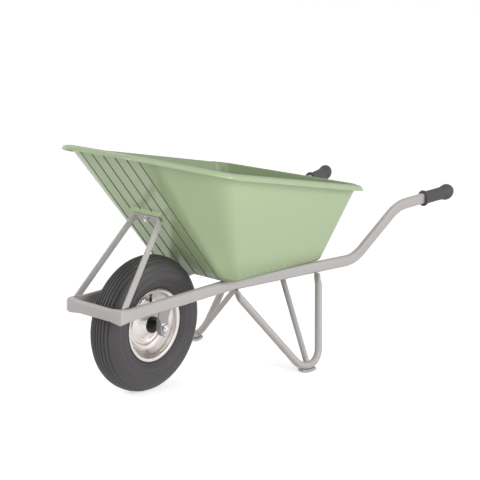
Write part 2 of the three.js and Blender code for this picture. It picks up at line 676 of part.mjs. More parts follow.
// The front panel's plane: up its slope, and out of its face towards the wheel.
const panelFoot = v3(FLOOR_FRONT_X, 0, floorUnder(FLOOR_FRONT_X));
const panelHead = v3(RIM_FRONT_X + LIP_WIDTH, 0, rimHeight(RIM_FRONT_X + LIP_WIDTH) + lipTop - TUB_WALL);
const panelUp = panelHead.clone().sub(panelFoot).normalize();
const panelOut = panelUp.clone().cross(v3(0, 1, 0));
const panelAt = (z) => panelFoot.clone().addScaledVector(panelUp, (z - panelFoot.z) / panelUp.z);
const panelTurn = new THREE.Quaternion().setFromRotationMatrix(
  new THREE.Matrix4().makeBasis(v3(0, 1, 0), panelUp, v3(0, 1, 0).cross(panelUp)));

// A box whose width runs across the panel, whose height runs up it, and whose depth goes into it.
function panelBox(width, height, depth, at) {
  return placed(new THREE.BoxGeometry(width, height, depth), { at, turn: panelTurn });
}

// The wall's thickness square to the panel, taken where it is greatest.
const panelFace = new THREE.Plane().setFromNormalAndCoplanarPoint(panelOut, panelFoot);
const panelWall = Math.max(...[cavityFoot[0], cavityTop[0]].map((p) => -panelFace.distanceToPoint(p)));

const seatMiddle = panelAt(STRAP_TOP_Z);
const seatFace = seatMiddle.clone().addScaledVector(panelOut, SEAT_RISE);
const strapMiddle = seatFace.clone().addScaledVector(panelOut, FIT + STRAP_THICKNESS / 2);
const seat = panelBox(2 * SEAT_HALF, SEAT_HEIGHT, SEAT_RISE + TUB_WALL / 2,
  seatMiddle.clone().addScaledVector(panelOut, (SEAT_RISE - TUB_WALL / 2) / 2));
const ledge = panelBox(2 * LEDGE_HALF, 2 * LEDGE_RADIUS, LEDGE_RISE + TUB_WALL / 2,
  seatMiddle.clone()
    .addScaledVector(panelUp, SEAT_HEIGHT / 2 + LEDGE_RADIUS - FIT)
    .addScaledVector(panelOut, (LEDGE_RISE - TUB_WALL / 2) / 2));

const panelLength = panelHead.distanceTo(panelFoot);
const grooves = Array.from({ length: GROOVE_COUNT }, (_, i) => {
  const y = (i - (GROOVE_COUNT - 1) / 2) * GROOVE_PITCH;
  const middle = panelFoot.clone().lerp(panelHead, 0.5)
    .addScaledVector(panelUp, (GROOVE_FOOT_MARGIN - GROOVE_TOP_MARGIN) / 2);
  const length = panelLength - GROOVE_TOP_MARGIN - GROOVE_FOOT_MARGIN;
  return panelBox(GROOVE_WIDTH, length, 2 * GROOVE_DEPTH, middle.setY(y));
});

// Bolts through the floor and its cross members, and the one through the strap.
const floorTurn = turnFromY(v3(floorSlope, 0, -1));
const boltPlaces = [
  [FRONT_MEMBER_X, -FRONT_BOLT_HALF], [FRONT_MEMBER_X, FRONT_BOLT_HALF],
  [REAR_MEMBER_X, -REAR_BOLT_HALF], [REAR_MEMBER_X, REAR_BOLT_HALF],
];
const holeReach = panelWall + SEAT_RISE + STRAP_THICKNESS + TUB_FLOOR + MEMBER_THICKNESS + 2 * PROUD;
const holeTool = rod(BOLT_RADIUS + LOOSE, 2 * holeReach, TUBE_SIDES);
const floorHoles = boltPlaces.map(([x, y]) =>
  placed(holeTool, { at: v3(x, y, floorUnder(x)), turn: floorTurn }));
const strapHole = placed(holeTool, { at: strapMiddle, turn: turnFromY(panelOut) });

const tubBody = join([cut(shell, grooves), seat, ledge]);
add('tub', 'tub', cut(tubBody, [...floorHoles, strapHole]));

// ---------------------------------------------------------------- strap at the tub's front

{
  const footX = frontX + STRAP_FOOT_BACK;
  const foot = v3(footX, RAIL_HALF_SPACING - STRAP_FOOT_INSET, railTop(footX));
  const knee = v3(strapMiddle.x, STRAP_TOP_HALF, strapMiddle.z);
  const corners = [mirrored(foot, -1), mirrored(knee, -1), knee, foot];
  const stations = roundedPath(corners, [STRAP_BEND_RADIUS, STRAP_BEND_RADIUS], STRAP_STEP_DEG);
  const section = rectangle(STRAP_WIDTH, STRAP_THICKNESS);
  const rings = stations.map((station) => ringAt(station, panelUp, section));
  const flareTop = FRONT_Z + (FRAME_TUBE_HEIGHT + FRONT_FLARE) / 2 + FIT;
  const rest = new THREE.Plane(v3(0, 0, 1), -flareTop);
  for (const i of [0, rings.length - 1]) {
    rings[i] = trimmed(rings[i], stations[i].tangent, rest);
  }
  add('tub_bracket', 'frame', cut(skin(rings), [strapHole]));
}

function fastener(names, base, out, grip) {
  const turn = turnFromY(out);
  const up = (distance) => base.clone().addScaledVector(out, distance);
  const stack = grip + FIT + WASHER_THICKNESS + FIT + NUT_HEIGHT;
  const bolt = carriageBolt(BOLT_RADIUS, BOLT_HEAD_RADIUS, BOLT_HEAD_HEIGHT, stack + BOLT_TAIL);
  const washerAt = grip + FIT + WASHER_THICKNESS / 2;
  const nutAt = grip + 2 * FIT + WASHER_THICKNESS + NUT_HEIGHT / 2;
  add(names.bolt, 'zinc', placed(bolt, { at: base, turn }));
  const ring = washer(WASHER_RADIUS, WASHER_THICKNESS, BOLT_RADIUS + FIT);
  add(names.washer, 'zinc', placed(ring, { at: up(washerAt), turn }));
  const nut = hexNut(NUT_ACROSS, NUT_HEIGHT, BOLT_RADIUS + FIT);
  add(names.nut, 'zinc', placed(nut, { at: up(nutAt), turn }));
}

{
  const inside = seatMiddle.clone().addScaledVector(panelOut, -(panelWall + FIT));
  const grip = panelWall + SEAT_RISE + 2 * FIT + STRAP_THICKNESS;
  const names = { bolt: 'bracket_bolt', washer: 'bracket_washer', nut: 'bracket_nut' };
  fastener(names, inside, panelOut, grip);
}

// ---------------------------------------------------------------- cross members under the tub

// A flat bar stands between the rails, flush with their tops, its ends cut along them.
for (const [name, x] of [['front_cross_member', FRONT_MEMBER_X], ['rear_cross_member', REAR_MEMBER_X]]) {
  const half = MEMBER_WIDTH / 2;
  const reach = (along) => railY(x + along) - FRAME_TUBE_WIDTH / 2 - FIT;
  const outline = [[-half, 1], [half, 1], [half, -1], [-half, -1]]
    .map(([along, side]) => new THREE.Vector2(along, side * reach(along)));
  const depth = MEMBER_THICKNESS;
  const bar = new THREE.ExtrudeGeometry(new THREE.Shape(outline), { depth, bevelEnabled: false });
  const turn = new THREE.Quaternion().setFromAxisAngle(v3(0, 1, 0), -Math.atan(floorSlope));
  const at = v3(x, 0, memberUnder(x));
  add(name, 'frame', cut(placed(bar, { at, turn }), floorHoles));
}

boltPlaces.forEach(([x, y], i) => {
  const down = v3(floorSlope, 0, -1).normalize();
  const head = v3(x, y, floorUnder(x)).addScaledVector(down, -(TUB_FLOOR + FIT));
  const grip = TUB_FLOOR + FIT + FIT + MEMBER_THICKNESS;
  const names = { bolt: `tub_bolt_${i + 1}`, washer: `tub_washer_${i + 1}`, nut: `tub_nut_${i + 1}` };
  fastener(names, head, down, grip);
});

// ---------------------------------------------------------------- wheel

const wheel = new THREE.Group();
wheel.position.set(0, 0, TYRE_RADIUS);
assembly.add(wheel);

// Tread half: a rounded-square arc from the tread's middle to the widest place.
const tyreMid = TYRE_RADIUS - TYRE_SECTION / 2;
function treadPoint(degrees, inset) {
  const angle = THREE.MathUtils.degToRad(degrees);
  const power = 2 / TYRE_SQUARENESS;
  const height = TYRE_SECTION / 2 - inset.tread;
  const half = TYRE_WIDTH / 2 - inset.side;
  return [tyreMid + height * Math.cos(angle) ** power, half * Math.sin(angle) ** power];
}
const beadHalf = RIM_WIDTH / 2 - RIM_SHEET / 2 - FIT;
const beadRadius = RIM_SEAT_RADIUS + RIM_SHEET / 2 + 2 * FIT;
const treadArc = (degrees, inset) => degrees.map((deg) => treadPoint(deg, inset));
const outerHalf = [
  ...treadArc([0, 20, 38, 56, 74, 90], { tread: 0, side: 0 }),
  [tyreMid - SIDEWALL_DROP, TYRE_WIDTH / 2 - SIDEWALL_TUCK],
  [RIM_FLANGE_RADIUS + RIM_SHEET, beadHalf],
  [beadRadius + BEAD_CHAMFER, beadHalf],
  [beadRadius, beadHalf - BEAD_CHAMFER],
];
const innerHalf = [
  ...treadArc([0, 35, 62, 90], { tread: TREAD_THICKNESS, side: SIDEWALL_THICKNESS }),
  [tyreMid - SIDEWALL_DROP, TYRE_WIDTH / 2 - SIDEWALL_TUCK - SIDEWALL_THICKNESS],
  [RIM_FLANGE_RADIUS + RIM_SHEET, beadHalf - BEAD_THICKNESS],
  [beadRadius, beadHalf - BEAD_THICKNESS],
];
const otherSide = (points) => points.slice(1).map(([r, y]) => [r, -y]).reverse();
add('tyre', 'tyre', turned([
  ...otherSide(outerHalf), ...outerHalf, ...[...innerHalf].reverse(), ...otherSide(innerHalf).reverse(),
], WHEEL_STEPS), wheel);

// Inner tube: a thin ring, slit on the side that faces the axle.
{
  const top = TYRE_RADIUS - TREAD_THICKNESS - TUBE_CLEARANCE;
  const bottom = RIM_SEAT_RADIUS + TUBE_CLEARANCE;
  const middle = (top + bottom) / 2;
  const half = beadHalf - BEAD_THICKNESS + TUBE_CLEARANCE;
  const arc = (inset) => Array.from({ length: INNER_TUBE_ARC_STEPS + 1 }, (_, i) => {
    const share = i / INNER_TUBE_ARC_STEPS;
    const angle = THREE.MathUtils.degToRad(TUBE_SLIT_DEG - 180 + (360 - 2 * TUBE_SLIT_DEG) * share);
    return [middle + ((top - bottom) / 2 - inset) * Math.cos(angle), (half - inset) * Math.sin(angle)];
  });
  const profile = [...arc(0), ...arc(TUBE_WALL_RUBBER).reverse()];
  add('inner_tube', 'black', turned(profile, INNER_TUBE_STEPS), wheel);
}

// Rim half: pressed disc, stiffening ring, tapered seat and rolled flange.
const weldHalf = RIM_SHEET / 2 + FIT / 2;
const discHalf = HUB_LENGTH / 2 - RIM_SHEET / 2 - FIT;
const rimLine = [
  [HUB_RADIUS + FIT, discHalf],
  [BUSH_FLANGE_RADIUS + RIM_SHEET, discHalf],
  [(BUSH_FLANGE_RADIUS + RIM_WELD_RADIUS) / 2, RIM_CONE_HALF],
  [RIM_WELD_RADIUS - RIM_SHEET, weldHalf],
  [RIM_RIDGE_RADIUS - RIM_RIDGE_HALF, weldHalf],
  [RIM_RIDGE_RADIUS - RIM_RIDGE_HALF / 2, RIM_RIDGE_HEIGHT],
  [RIM_RIDGE_RADIUS + RIM_RIDGE_HALF / 2, RIM_RIDGE_HEIGHT],
  [RIM_WELL_RADIUS, weldHalf],
  [RIM_SEAT_RADIUS - RIM_SHEET, RIM_BARREL_HALF],
  [RIM_SEAT_RADIUS, RIM_WIDTH / 2 - 2 * RIM_SHEET],
  [RIM_SEAT_RADIUS + RIM_SHEET, RIM_WIDTH / 2],
  [RIM_FLANGE_RADIUS, RIM_WIDTH / 2 + RIM_SHEET / 2],
];
const valveHole = rod(VALVE_RADIUS + LOOSE / 2, 2 * (RIM_SEAT_RADIUS - VALVE_TIP_RADIUS), TUBE_SIDES);
const valveTool = placed(valveHole, {
  at: v3(0, -VALVE_OFFSET, RIM_SEAT_RADIUS),
  turn: turnFromY(v3(0, 0, 1)),
});
for (const [name, side] of SIDES) {
  const half = turned(sheetProfile(rimLine.map(([r, y]) => [r, side * y]), RIM_SHEET), RIM_STEPS);
  add(`${name}_rim_half`, 'rim', side < 0 ? cut(half, [valveTool]) : half, wheel);
}

const hubHalf = HUB_LENGTH / 2;
add('hub_tube', 'rim', turned(ringProfile(HUB_RADIUS - HUB_WALL, HUB_RADIUS, -hubHalf, hubHalf),
  RIM_STEPS / 2), wheel);

for (const [name, side] of SIDES) {
  const bore = AXLE_RADIUS + FIT;
  const face = HUB_LENGTH / 2 + FIT;
  const profile = [
    [bore, face - BUSH_SPIGOT], [HUB_RADIUS - HUB_WALL - FIT, face - BUSH_SPIGOT],
    [HUB_RADIUS - HUB_WALL - FIT, face], [BUSH_FLANGE_RADIUS, face],
    [BUSH_FLANGE_RADIUS, face + BUSH_FLANGE_THICKNESS], [BUSH_COLLAR_RADIUS, face + BUSH_FLANGE_THICKNESS],
    [BUSH_COLLAR_RADIUS, EAR_INNER - FIT], [bore, EAR_INNER - FIT],
  ].map(([r, y]) => [r, side * y]);
  add(`${name}_wheel_bush`, 'black', turned(profile), wheel);
}

{
  const stemTop = RIM_SEAT_RADIUS + TUBE_CLEARANCE - FIT;
  const stem = rod(VALVE_RADIUS, stemTop - VALVE_TIP_RADIUS, TUBE_SIDES);
  const upright = turnFromY(v3(0, 0, 1));
  add('valve_stem', 'black',
    placed(stem, { at: v3(0, -VALVE_OFFSET, (stemTop + VALVE_TIP_RADIUS) / 2), turn: upright }), wheel);
  const outer = VALVE_RADIUS + FIT + VALVE_CAP_WALL;
  const inner = VALVE_RADIUS + FIT;
  const cap = turned([
    [0, -VALVE_CAP_WALL - FIT], [outer, -VALVE_CAP_WALL - FIT], [outer, VALVE_CAP_LENGTH],
    [inner, VALVE_CAP_LENGTH], [inner, -FIT], [0, -FIT],
  ], TUBE_SIDES);
  add('valve_cap', 'black',
    placed(cap, { at: v3(0, -VALVE_OFFSET, VALVE_TIP_RADIUS), turn: upright }), wheel);
}

// ---------------------------------------------------------------- axle and its brackets

const earOuter = EAR_INNER + EAR_THICKNESS;
const axleNutOuter = earOuter + FIT + AXLE_WASHER_THICKNESS + FIT + AXLE_NUT_HEIGHT;
add('axle', 'zinc', placed(rod(AXLE_RADIUS, 2 * (axleNutOuter + AXLE_TAIL)), { at: v3(0, 0, TYRE_RADIUS) }));

// Bracket: a plate with a rounded foot, joggled out to a tab on the rail's inner face. Its front
// edge is folded in, and the fold runs on round the foot.
for (const [name, side] of SIDES) {
  const at = (y) => side * y;
  const slab = (width, inner, outer, low, high, x = 0) => placed(
    new THREE.BoxGeometry(width, outer - inner, high - low),
    { at: v3(x, at((inner + outer) / 2), (low + high) / 2) });
  const railInner = RAIL_HALF_SPACING - FRAME_TUBE_WIDTH / 2 - FIT;
  const tabInner = railInner - EAR_THICKNESS;
  const joggleZ = railBottom(0) - EAR_JOGGLE_DROP;
  const tabZ = railBottom(0) + EAR_JOGGLE_RISE;
  const tabTop = tabZ + EAR_TAB_HEIGHT;
  const bentSheet = new THREE.Shape([
    [EAR_INNER, TYRE_RADIUS], [earOuter, TYRE_RADIUS], [earOuter, joggleZ], [railInner, tabZ],
    [railInner, tabTop], [tabInner, tabTop], [tabInner, tabZ], [EAR_INNER, joggleZ],
  ].map(([y, z]) => new THREE.Vector2(at(y), z)));
  const acrossX = new THREE.Matrix4().makeBasis(v3(0, 1, 0), v3(0, 0, 1), v3(1, 0, 0));
  const sheet = placed(
    new THREE.ExtrudeGeometry(bentSheet, { depth: EAR_WIDTH, bevelEnabled: false }).applyMatrix4(acrossX),
    { at: v3(-EAR_WIDTH / 2, 0, 0) });
  const footRound = EAR_WIDTH / 2;
  const foot = placed(rod(footRound, EAR_THICKNESS),
    { at: v3(0, at(EAR_INNER + EAR_THICKNESS / 2), TYRE_RADIUS) });
  const flangeInner = earOuter - EAR_FLANGE;
  const fold = slab(EAR_THICKNESS, flangeInner, earOuter, TYRE_RADIUS, joggleZ,
    -(EAR_WIDTH - EAR_THICKNESS) / 2);
  const flangeAt = v3(0, at((flangeInner + earOuter) / 2), TYRE_RADIUS);
  const footFold = cut(placed(rod(footRound, EAR_FLANGE), { at: flangeAt }), [
    placed(rod(footRound - EAR_THICKNESS, 2 * EAR_FLANGE), { at: flangeAt }),
    slab(EAR_WIDTH, 0, 2 * earOuter, TYRE_RADIUS, TYRE_RADIUS + EAR_WIDTH),
    slab(EAR_WIDTH, 0, 2 * earOuter, TYRE_RADIUS - EAR_WIDTH, TYRE_RADIUS, EAR_WIDTH / 2),
  ]);
  const hole = placed(rod(AXLE_RADIUS + FIT, EAR_THICKNESS + 2 * PROUD),
    { at: v3(0, at(EAR_INNER + EAR_THICKNESS / 2), TYRE_RADIUS) });
  add(`${name}_axle_bracket`, 'frame', cut(join([sheet, foot, fold, footFold]), [hole]));
  const washerAt = v3(0, at(earOuter + FIT + AXLE_WASHER_THICKNESS / 2), TYRE_RADIUS);
  const nutAt = v3(0, at(axleNutOuter - AXLE_NUT_HEIGHT / 2), TYRE_RADIUS);
  add(`${name}_axle_washer`, 'zinc',
    placed(washer(AXLE_WASHER_RADIUS, AXLE_WASHER_THICKNESS, AXLE_RADIUS + FIT), { at: washerAt }));
  add(`${name}_axle_nut`, 'zinc',
    placed(hexNut(AXLE_NUT_ACROSS, AXLE_NUT_HEIGHT, AXLE_RADIUS + FIT), { at: nutAt }));
}

// ---------------------------------------------------------------- export

// The origin is on the floor, at the middle of the whole length.
const span = new THREE.Box3().setFromObject(assembly);
assembly.position.x = -(span.min.x + span.max.x) / 2;

const wheelbarrow = new THREE.Group();
wheelbarrow.add(assembly);

export default wheelbarrow;
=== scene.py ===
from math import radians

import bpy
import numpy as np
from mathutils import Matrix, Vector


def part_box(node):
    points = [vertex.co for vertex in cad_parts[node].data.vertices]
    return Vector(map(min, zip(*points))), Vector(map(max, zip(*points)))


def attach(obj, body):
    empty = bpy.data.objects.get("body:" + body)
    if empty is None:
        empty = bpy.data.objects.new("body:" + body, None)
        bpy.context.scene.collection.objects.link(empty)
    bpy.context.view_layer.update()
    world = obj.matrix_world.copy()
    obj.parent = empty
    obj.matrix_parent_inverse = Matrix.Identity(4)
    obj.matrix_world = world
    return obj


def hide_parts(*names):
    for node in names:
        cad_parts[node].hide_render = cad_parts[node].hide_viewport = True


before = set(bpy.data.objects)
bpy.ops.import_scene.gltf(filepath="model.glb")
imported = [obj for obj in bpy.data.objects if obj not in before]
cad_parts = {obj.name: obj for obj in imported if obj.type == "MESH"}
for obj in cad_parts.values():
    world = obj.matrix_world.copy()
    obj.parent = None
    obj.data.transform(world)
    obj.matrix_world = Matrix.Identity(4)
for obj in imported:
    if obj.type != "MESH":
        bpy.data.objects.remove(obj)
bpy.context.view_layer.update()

# A single-wheel garden wheelbarrow: a glossy moulded tub on a powder-coated oval-tube frame, with
# a pneumatic wheel on a zinc-plated pressed rim, two V-shaped legs and rubber grips.
# Lengths are in millimetres from the floor under the axle (+X back to the grips, +Y to the right
# of the person who pushes, +Z up) and become metres in the part's frame when a mesh is made.

MM = 0.001


# Centre of the axle's box, from the part's own origin.
AXLE = np.sum(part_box("axle"), axis=0) / 2 / MM
AXLE_Z = AXLE[2]
SIDES = (("left", -1), ("right", 1))

# -------- sizes of the frame's pieces

TYRE_WIDTH = 96
TYRE_SECTION = 100
TYRE_SQUARENESS = 2.3
TYRE_CROWN_WALL = 9
TYRE_SIDE_WALL = 5
BEAD_WIDTH = 7
BEAD_CHAMFER = 3.5
RIM_SHEET = 1.8
RIM_WIDTH = 69
RIM_FLANGE_RADIUS = 106
RIM_SEAT_RADIUS = 96.5
# The pressed rim's half section from the hub out to the flange: radius and distance along the
# axle, and the bend radius at each of its inner corners.
RIM_LINE = [(18.3, 24.8), (26.3, 24.8), (40.75, 10.4), (55.2, 1.05), (61.5, 1.05), (65.5, 8.5), (73, 8.5),
            (77, 1.05), (96.2, 20.5), (96.5, 30.9), (98.3, 34.5), (106, 35.4)]
RIM_BENDS = (3, 40, 10, 3, 3, 3, 2.5, 12, 6, 2.5)
HUB_LENGTH = 52
HUB_RADIUS = 18
HUB_WALL = 2.5
BUSH_FLANGE_RADIUS = 24.5
BUSH_COLLAR_RADIUS = 13
AXLE_RADIUS = 6

TUBE_HEIGHT = 37
TUBE_WIDTH = 20
FRONT_X = -203.97
FRONT_Z = 271.5
FRONT_FLARE = 9
FRONT_FLARE_LENGTH = 34
SEAM = 1.0
RAIL_HALF_SPACING = 95
SPLAY_X = 250
SPLAY_Z = 289.5
SPLAY_SLOPE = 0.1635
LOW_BEND_X = 790
LOW_BEND_Z = 307.5
HIGH_BEND_X = 985
HIGH_BEND_Z = 468.5
HANDLE_SLOPE = 0.11
RAIL_BENDS = (120, 120, 150)
GRIP_END_X = 1256
GRIP_LENGTH = 150
GRIP_END_WALL = 8
GRIP_WIDTH = 34
GRIP_HEIGHT = 44
GRIP_BORE = (TUBE_WIDTH + 1, TUBE_HEIGHT + 1)
GRIP_KNOB_WIDTH = 46
GRIP_KNOB_HEIGHT = 55
GRIP_SWELL_START = 58
GRIP_SWELL_END = 27
# Distance from the end, width and height of each ring over the collar and down to the body.
GRIP_COLLAR = np.array([
    (150, 37, 46), (149.4, 41, 51), (148, 44, 54), (146, 45, 55), (143.5, 45, 55), (141.6, 43.6, 53.6),
    (140.4, 40, 50), (139.8, 36.6, 46.8), (138.8, 36, 46.2), (137.8, 37.4, 47.6), (136.4, 38, 48.2),
    (134, 38, 48.2), (132.8, 37, 47), (132, 35, 45), (131, 34.2, 44.2), (128, 34, 44)], float)
VALVE_OFFSET = 16
VALVE_TIP_RADIUS = 67
CAP_RADIUS = 4.1
CAP_LENGTH = 11.5
CAP_KNURLS = 18
CAP_KNURL = 0.22

LEG_RADIUS = 11.5
LEG_FRONT_X = 272
LEG_REAR_X = 622
LEG_FRONT_OUTSET = 0
LEG_REAR_OUTSET = 7
LEG_FLAT_LENGTH = 16
LEG_TAPER_LENGTH = 38
LEG_FLAT_THICKNESS = 8
LEG_FLAT_WIDTH = 26
LEG_FLAT_SHIFT = 5
FOOT_FRONT_X = 467
FOOT_REAR_X = 544
FOOT_HALF_TRACK = 231
FOOT_BEND_RADIUS = 58
SKID_THICKNESS = 8
SKID_WIDTH = 25
SKID_LIFT_ANGLE = 21
BRACE_RADIUS = 9
BRACE_TOP_X = 574
BRACE_TOP_HALF = 35
BRACE_FOOT_INSET = 11
BRACE_FOOT_RISE = 4
BRACE_BEND_RADIUS = 22

TUB_WALL = 4
TUB_FLOOR = 5
RIM_FRONT_X = -205
RIM_REAR_X = 673
RIM_FRONT_Z = 703
RIM_REAR_Z = 562
RIM_SAG = 17
RIM_HALF_WIDTH = 309
# The tub's right half in plan, at the lip and at the floor: its front, cheek and rear corners,
# and the bend radius at each.
RIM_PLAN = ((RIM_FRONT_X, 151), (-42, RIM_HALF_WIDTH), (RIM_REAR_X, RIM_HALF_WIDTH))
RIM_CORNERS = (122, 142, 70)
LIP_WIDTH = 22
LIP_SKIRT = 12.5
LIP_CROWN = 4
FLOOR_FRONT_X = 199
FLOOR_CHEEK_X = 243
FLOOR_PLAN = ((FLOOR_FRONT_X, 126), (FLOOR_CHEEK_X, 138), (648, 158))
FLOOR_CORNERS = (16, 90, 24)
CORNER_POINTS = 17
FLOOR_EDGE_RADIUS = 12
FLOOR_FRONT_RADIUS = 40
LIP_FILLET = 3
# The lip from its underside round the thin foot of its skirt and up to its crown: how far each
# line lies inside the foot, and how high over it.
LIP_LINE = [
    (12.6, 9.4), (10.4, 8.2), (9.2, 7.2), (4.3, 1.3), (3.5, 0.4), (2.5, 0), (1.2, 0), (0.4, 0.3), (0, 1.1),
    (1.5, 4.2), (3.1, 7.4), (4.4, 9.8), (5.4, 11.4), (6.8, 12.4), (9, 13.1), (13, 14.0), (18, 15.2)]
GROOVE_PITCH = 43.8
GROOVE_DEPTH = 3.4
SEAT_RISE = 7
SEAT_HALF = 58
LEDGE_RISE = 10
# Where the seat and the ledge begin and end, up the panel from the seat's middle.
SEAT_LOW = (-14, -11.5)
SEAT_HIGH = (20, 24)
LEDGE_LOW = (11.8, 13.4)
LEDGE_HIGH = (17.5, 21.5)
SEAT_END = 2.5
# A groove is at full depth out to the first distance from its middle, and gone at the second.
GROOVE_SHOULDER = (1.8, 3.3)
OUTER_GROOVE_START = 2.2 * GROOVE_PITCH
OUTER_GROOVE_SHARE = 0.8
# Rings round the foot of the wall, and how much painted shade each place gets.
FOOT_RINGS = 10
GROOVE_PAINTED_SHADE = 0.92
FOOT_PAINTED_SHADE = 0.45
FILLET_PAINTED_SHADE = 0.6
CREST_PAINTED_SHADE = 0.3
STRAP_TOP_Z = 517
STRAP_TOP_HALF = 49
STRAP_WIDTH = 21
STRAP_THICKNESS = 5
STRAP_FOOT_BACK = 17
STRAP_FOOT_INSET = 3
STRAP_BEND_RADIUS = 9

TREAD_HALF = 34
RIB_PITCH = 9.4
RIB_DEPTH = 4.2
SIDEWALL_RING_SIZE = 1.1
SIDEWALL_RINGS = (171, 167.5, 161, 157, 141, 137.5, 126, 122, 118, 113)

MEMBER_WIDTH = 40
MEMBER_THICKNESS = 4
FRONT_MEMBER_X = 300
REAR_MEMBER_X = 563
FRONT_BOLT_HALF = 62
REAR_BOLT_HALF = 92
BOLT_RADIUS = 4
BOLT_HEAD_RADIUS = 10
BOLT_HEAD_HEIGHT = 4.5
BOLT_TAIL = 3
BOLT_THREAD = 12
BOLT_PITCH = 1.25
NUT_ACROSS = 13
NUT_HEIGHT = 6.5
WASHER_RADIUS = 9
WASHER_THICKNESS = 1.6
AXLE_NUT_ACROSS = 19
AXLE_NUT_HEIGHT = 10
AXLE_WASHER_RADIUS = 13
AXLE_WASHER_THICKNESS = 2.5
AXLE_TAIL = 5
AXLE_THREAD = 20
AXLE_PITCH = 1.75
EAR_WIDTH = 48
EAR_THICKNESS = 5
EAR_INNER = 61
EAR_FLANGE = 20
EAR_JOGGLE_DROP = 35
EAR_JOGGLE_RISE = 22
EAR_TAB_HEIGHT = 8
EAR_BEND_RADIUS = 14
EAR_FOLD_END = 12
BAR_EDGE = 0.8
GAP = 0.3


# -------- shapes

def put_mesh(name, points, faces, sharp=40):
    """A mesh object from points in millimetres and faces; faces turn outward if they face inward."""
    points = np.asarray(points, float).reshape(-1, 3)
    triangles = np.array([(f[0], a, b) for f in faces for a, b in zip(f[1:], f[2:])])
    a, b, c = points[triangles].transpose(1, 0, 2)
    if np.einsum("ij,ij->", a, np.cross(b, c)) < 0:
        faces = [f[::-1] for f in faces]
    mesh = bpy.data.meshes.new(name)
    place = np.array([AXLE[0], 0, 0])
    mesh.from_pydata(((points + place) * MM).tolist(), [], faces)
    mesh.validate()
    mesh.shade_smooth()
    mesh.set_sharp_from_angle(angle=radians(sharp))
    piece = bpy.data.objects.new(name, mesh)
    bpy.context.scene.collection.objects.link(piece)
    return piece


def skin(name, rings, closed=False, sharp=40):
    """Quads over rings of points [ring, place on ring, xyz]; every ring is a closed loop. The end
    rings are closed by a fan to their middle, or joined to each other when the run is closed."""
    rings = np.asarray(rings, float)
    count, places = rings.shape[:2]
    index = np.arange(count * places).reshape(count, places)
    if closed:
        index = np.vstack([index, index[:1]])
    index = np.hstack([index, index[:, :1]])
    quads = np.stack([index[:-1, :-1], index[:-1, 1:], index[1:, 1:], index[1:, :-1]], -1)
    points = rings.reshape(-1, 3)
    faces = quads.reshape(-1, 4).tolist()
    if not closed:
        middles = rings[[0, -1]].mean(axis=1)
        hub = len(points)
        points = np.vstack([points, middles])
        first = np.stack([index[0, 1:], index[0, :-1], np.full(places, hub)], -1)
        last = np.stack([index[-1, :-1], index[-1, 1:], np.full(places, hub + 1)], -1)
        faces += first.tolist() + last.tolist()
    return put_mesh(name, points, faces, sharp)


def unit(vectors):
    """Each vector divided by its length."""
    vectors = np.asarray(vectors, float)
    return vectors / np.linalg.norm(vectors, axis=-1, keepdims=True)


def turning(before, after):
    """Angle between two headings."""
    return np.arccos(np.clip(before @ after, -1, 1))


def arc(before, after, at, radius, count):
    """Points and tangents of the arc that rounds the corner `at`: its spoke turns evenly from the
    first heading to the second."""
    turn = turning(before, after)
    centre = at + unit(after - before) * radius / np.cos(turn / 2)
    spoke = unit(at - before * radius * np.tan(turn / 2) - centre)
    angles = np.linspace(0, turn, count)[:, None]
    return (centre + radius * (spoke * np.cos(angles) + before * np.sin(angles)),
            before * np.cos(angles) - spoke * np.sin(angles))


def bent_path(corners, radii, step=3.0, run=12.0):
    """Points and tangents along a polyline whose corners are arcs, with a point at least every
    `step` degrees on an arc and every `run` millimetres on a straight."""
    corners = np.asarray(corners, float)
    headings = unit(np.diff(corners, axis=0))
    points, tangents = [corners[:1]], [headings[:1]]
    for before, after, at, radius in zip(headings, headings[1:], corners[1:], radii):
        count = max(3, int(np.degrees(turning(before, after)) / step) + 2)
        bend, heading = arc(before, after, at, radius, count)
        points.append(bend)
        tangents.append(heading)
    points.append(corners[-1:])
    tangents.append(headings[-1:])
    filled, along = [], []
    for a, b, heading in zip(points, points[1:], tangents):
        share = np.linspace(0, 1, max(2, int(np.linalg.norm(b[0] - a[-1]) / run)))[1:-1, None]
        filled += [a, a[-1] + (b[0] - a[-1]) * share]
        along += [heading, np.repeat(heading[-1:], len(share), axis=0)]
    return np.vstack(filled + [points[-1]]), np.vstack(along + [tangents[-1]])


def carried(points, tangents, across, section):
    """A section of [across, up] points set square to each station of a path. The section may be
    one loop, or one loop for each station."""
    tangents = unit(tangents)
    across = np.broadcast_to(np.asarray(across, float), tangents.shape)
    side = unit(across - tangents * np.einsum("ij,ij->i", across, tangents)[:, None])
    up = np.cross(tangents, side)
    section = np.broadcast_to(section, (len(points),) + np.shape(section)[-2:])
    return points[:, None] + side[:, None] * section[..., :1] + up[:, None] * section[..., 1:]


def oval(width, height, count=40):
    """Flat-sided oval: two half circles of the smaller size joined by straight sides. The angle
    is spread so that the points lie evenly along the outline; sizes may be arrays."""
    width, height = np.broadcast_arrays(np.atleast_1d(width), np.atleast_1d(height))
    radius = np.minimum(width, height)[:, None] / 2
    angle = 2 * np.pi * (np.arange(count) + 0.5) / count
    shift = np.stack([width[:, None] / 2 - radius, height[:, None] / 2 - radius], -1)
    round_part = radius[..., None] * np.stack([np.cos(angle), np.sin(angle)], -1)
    return round_part + np.sign(round_part) * shift


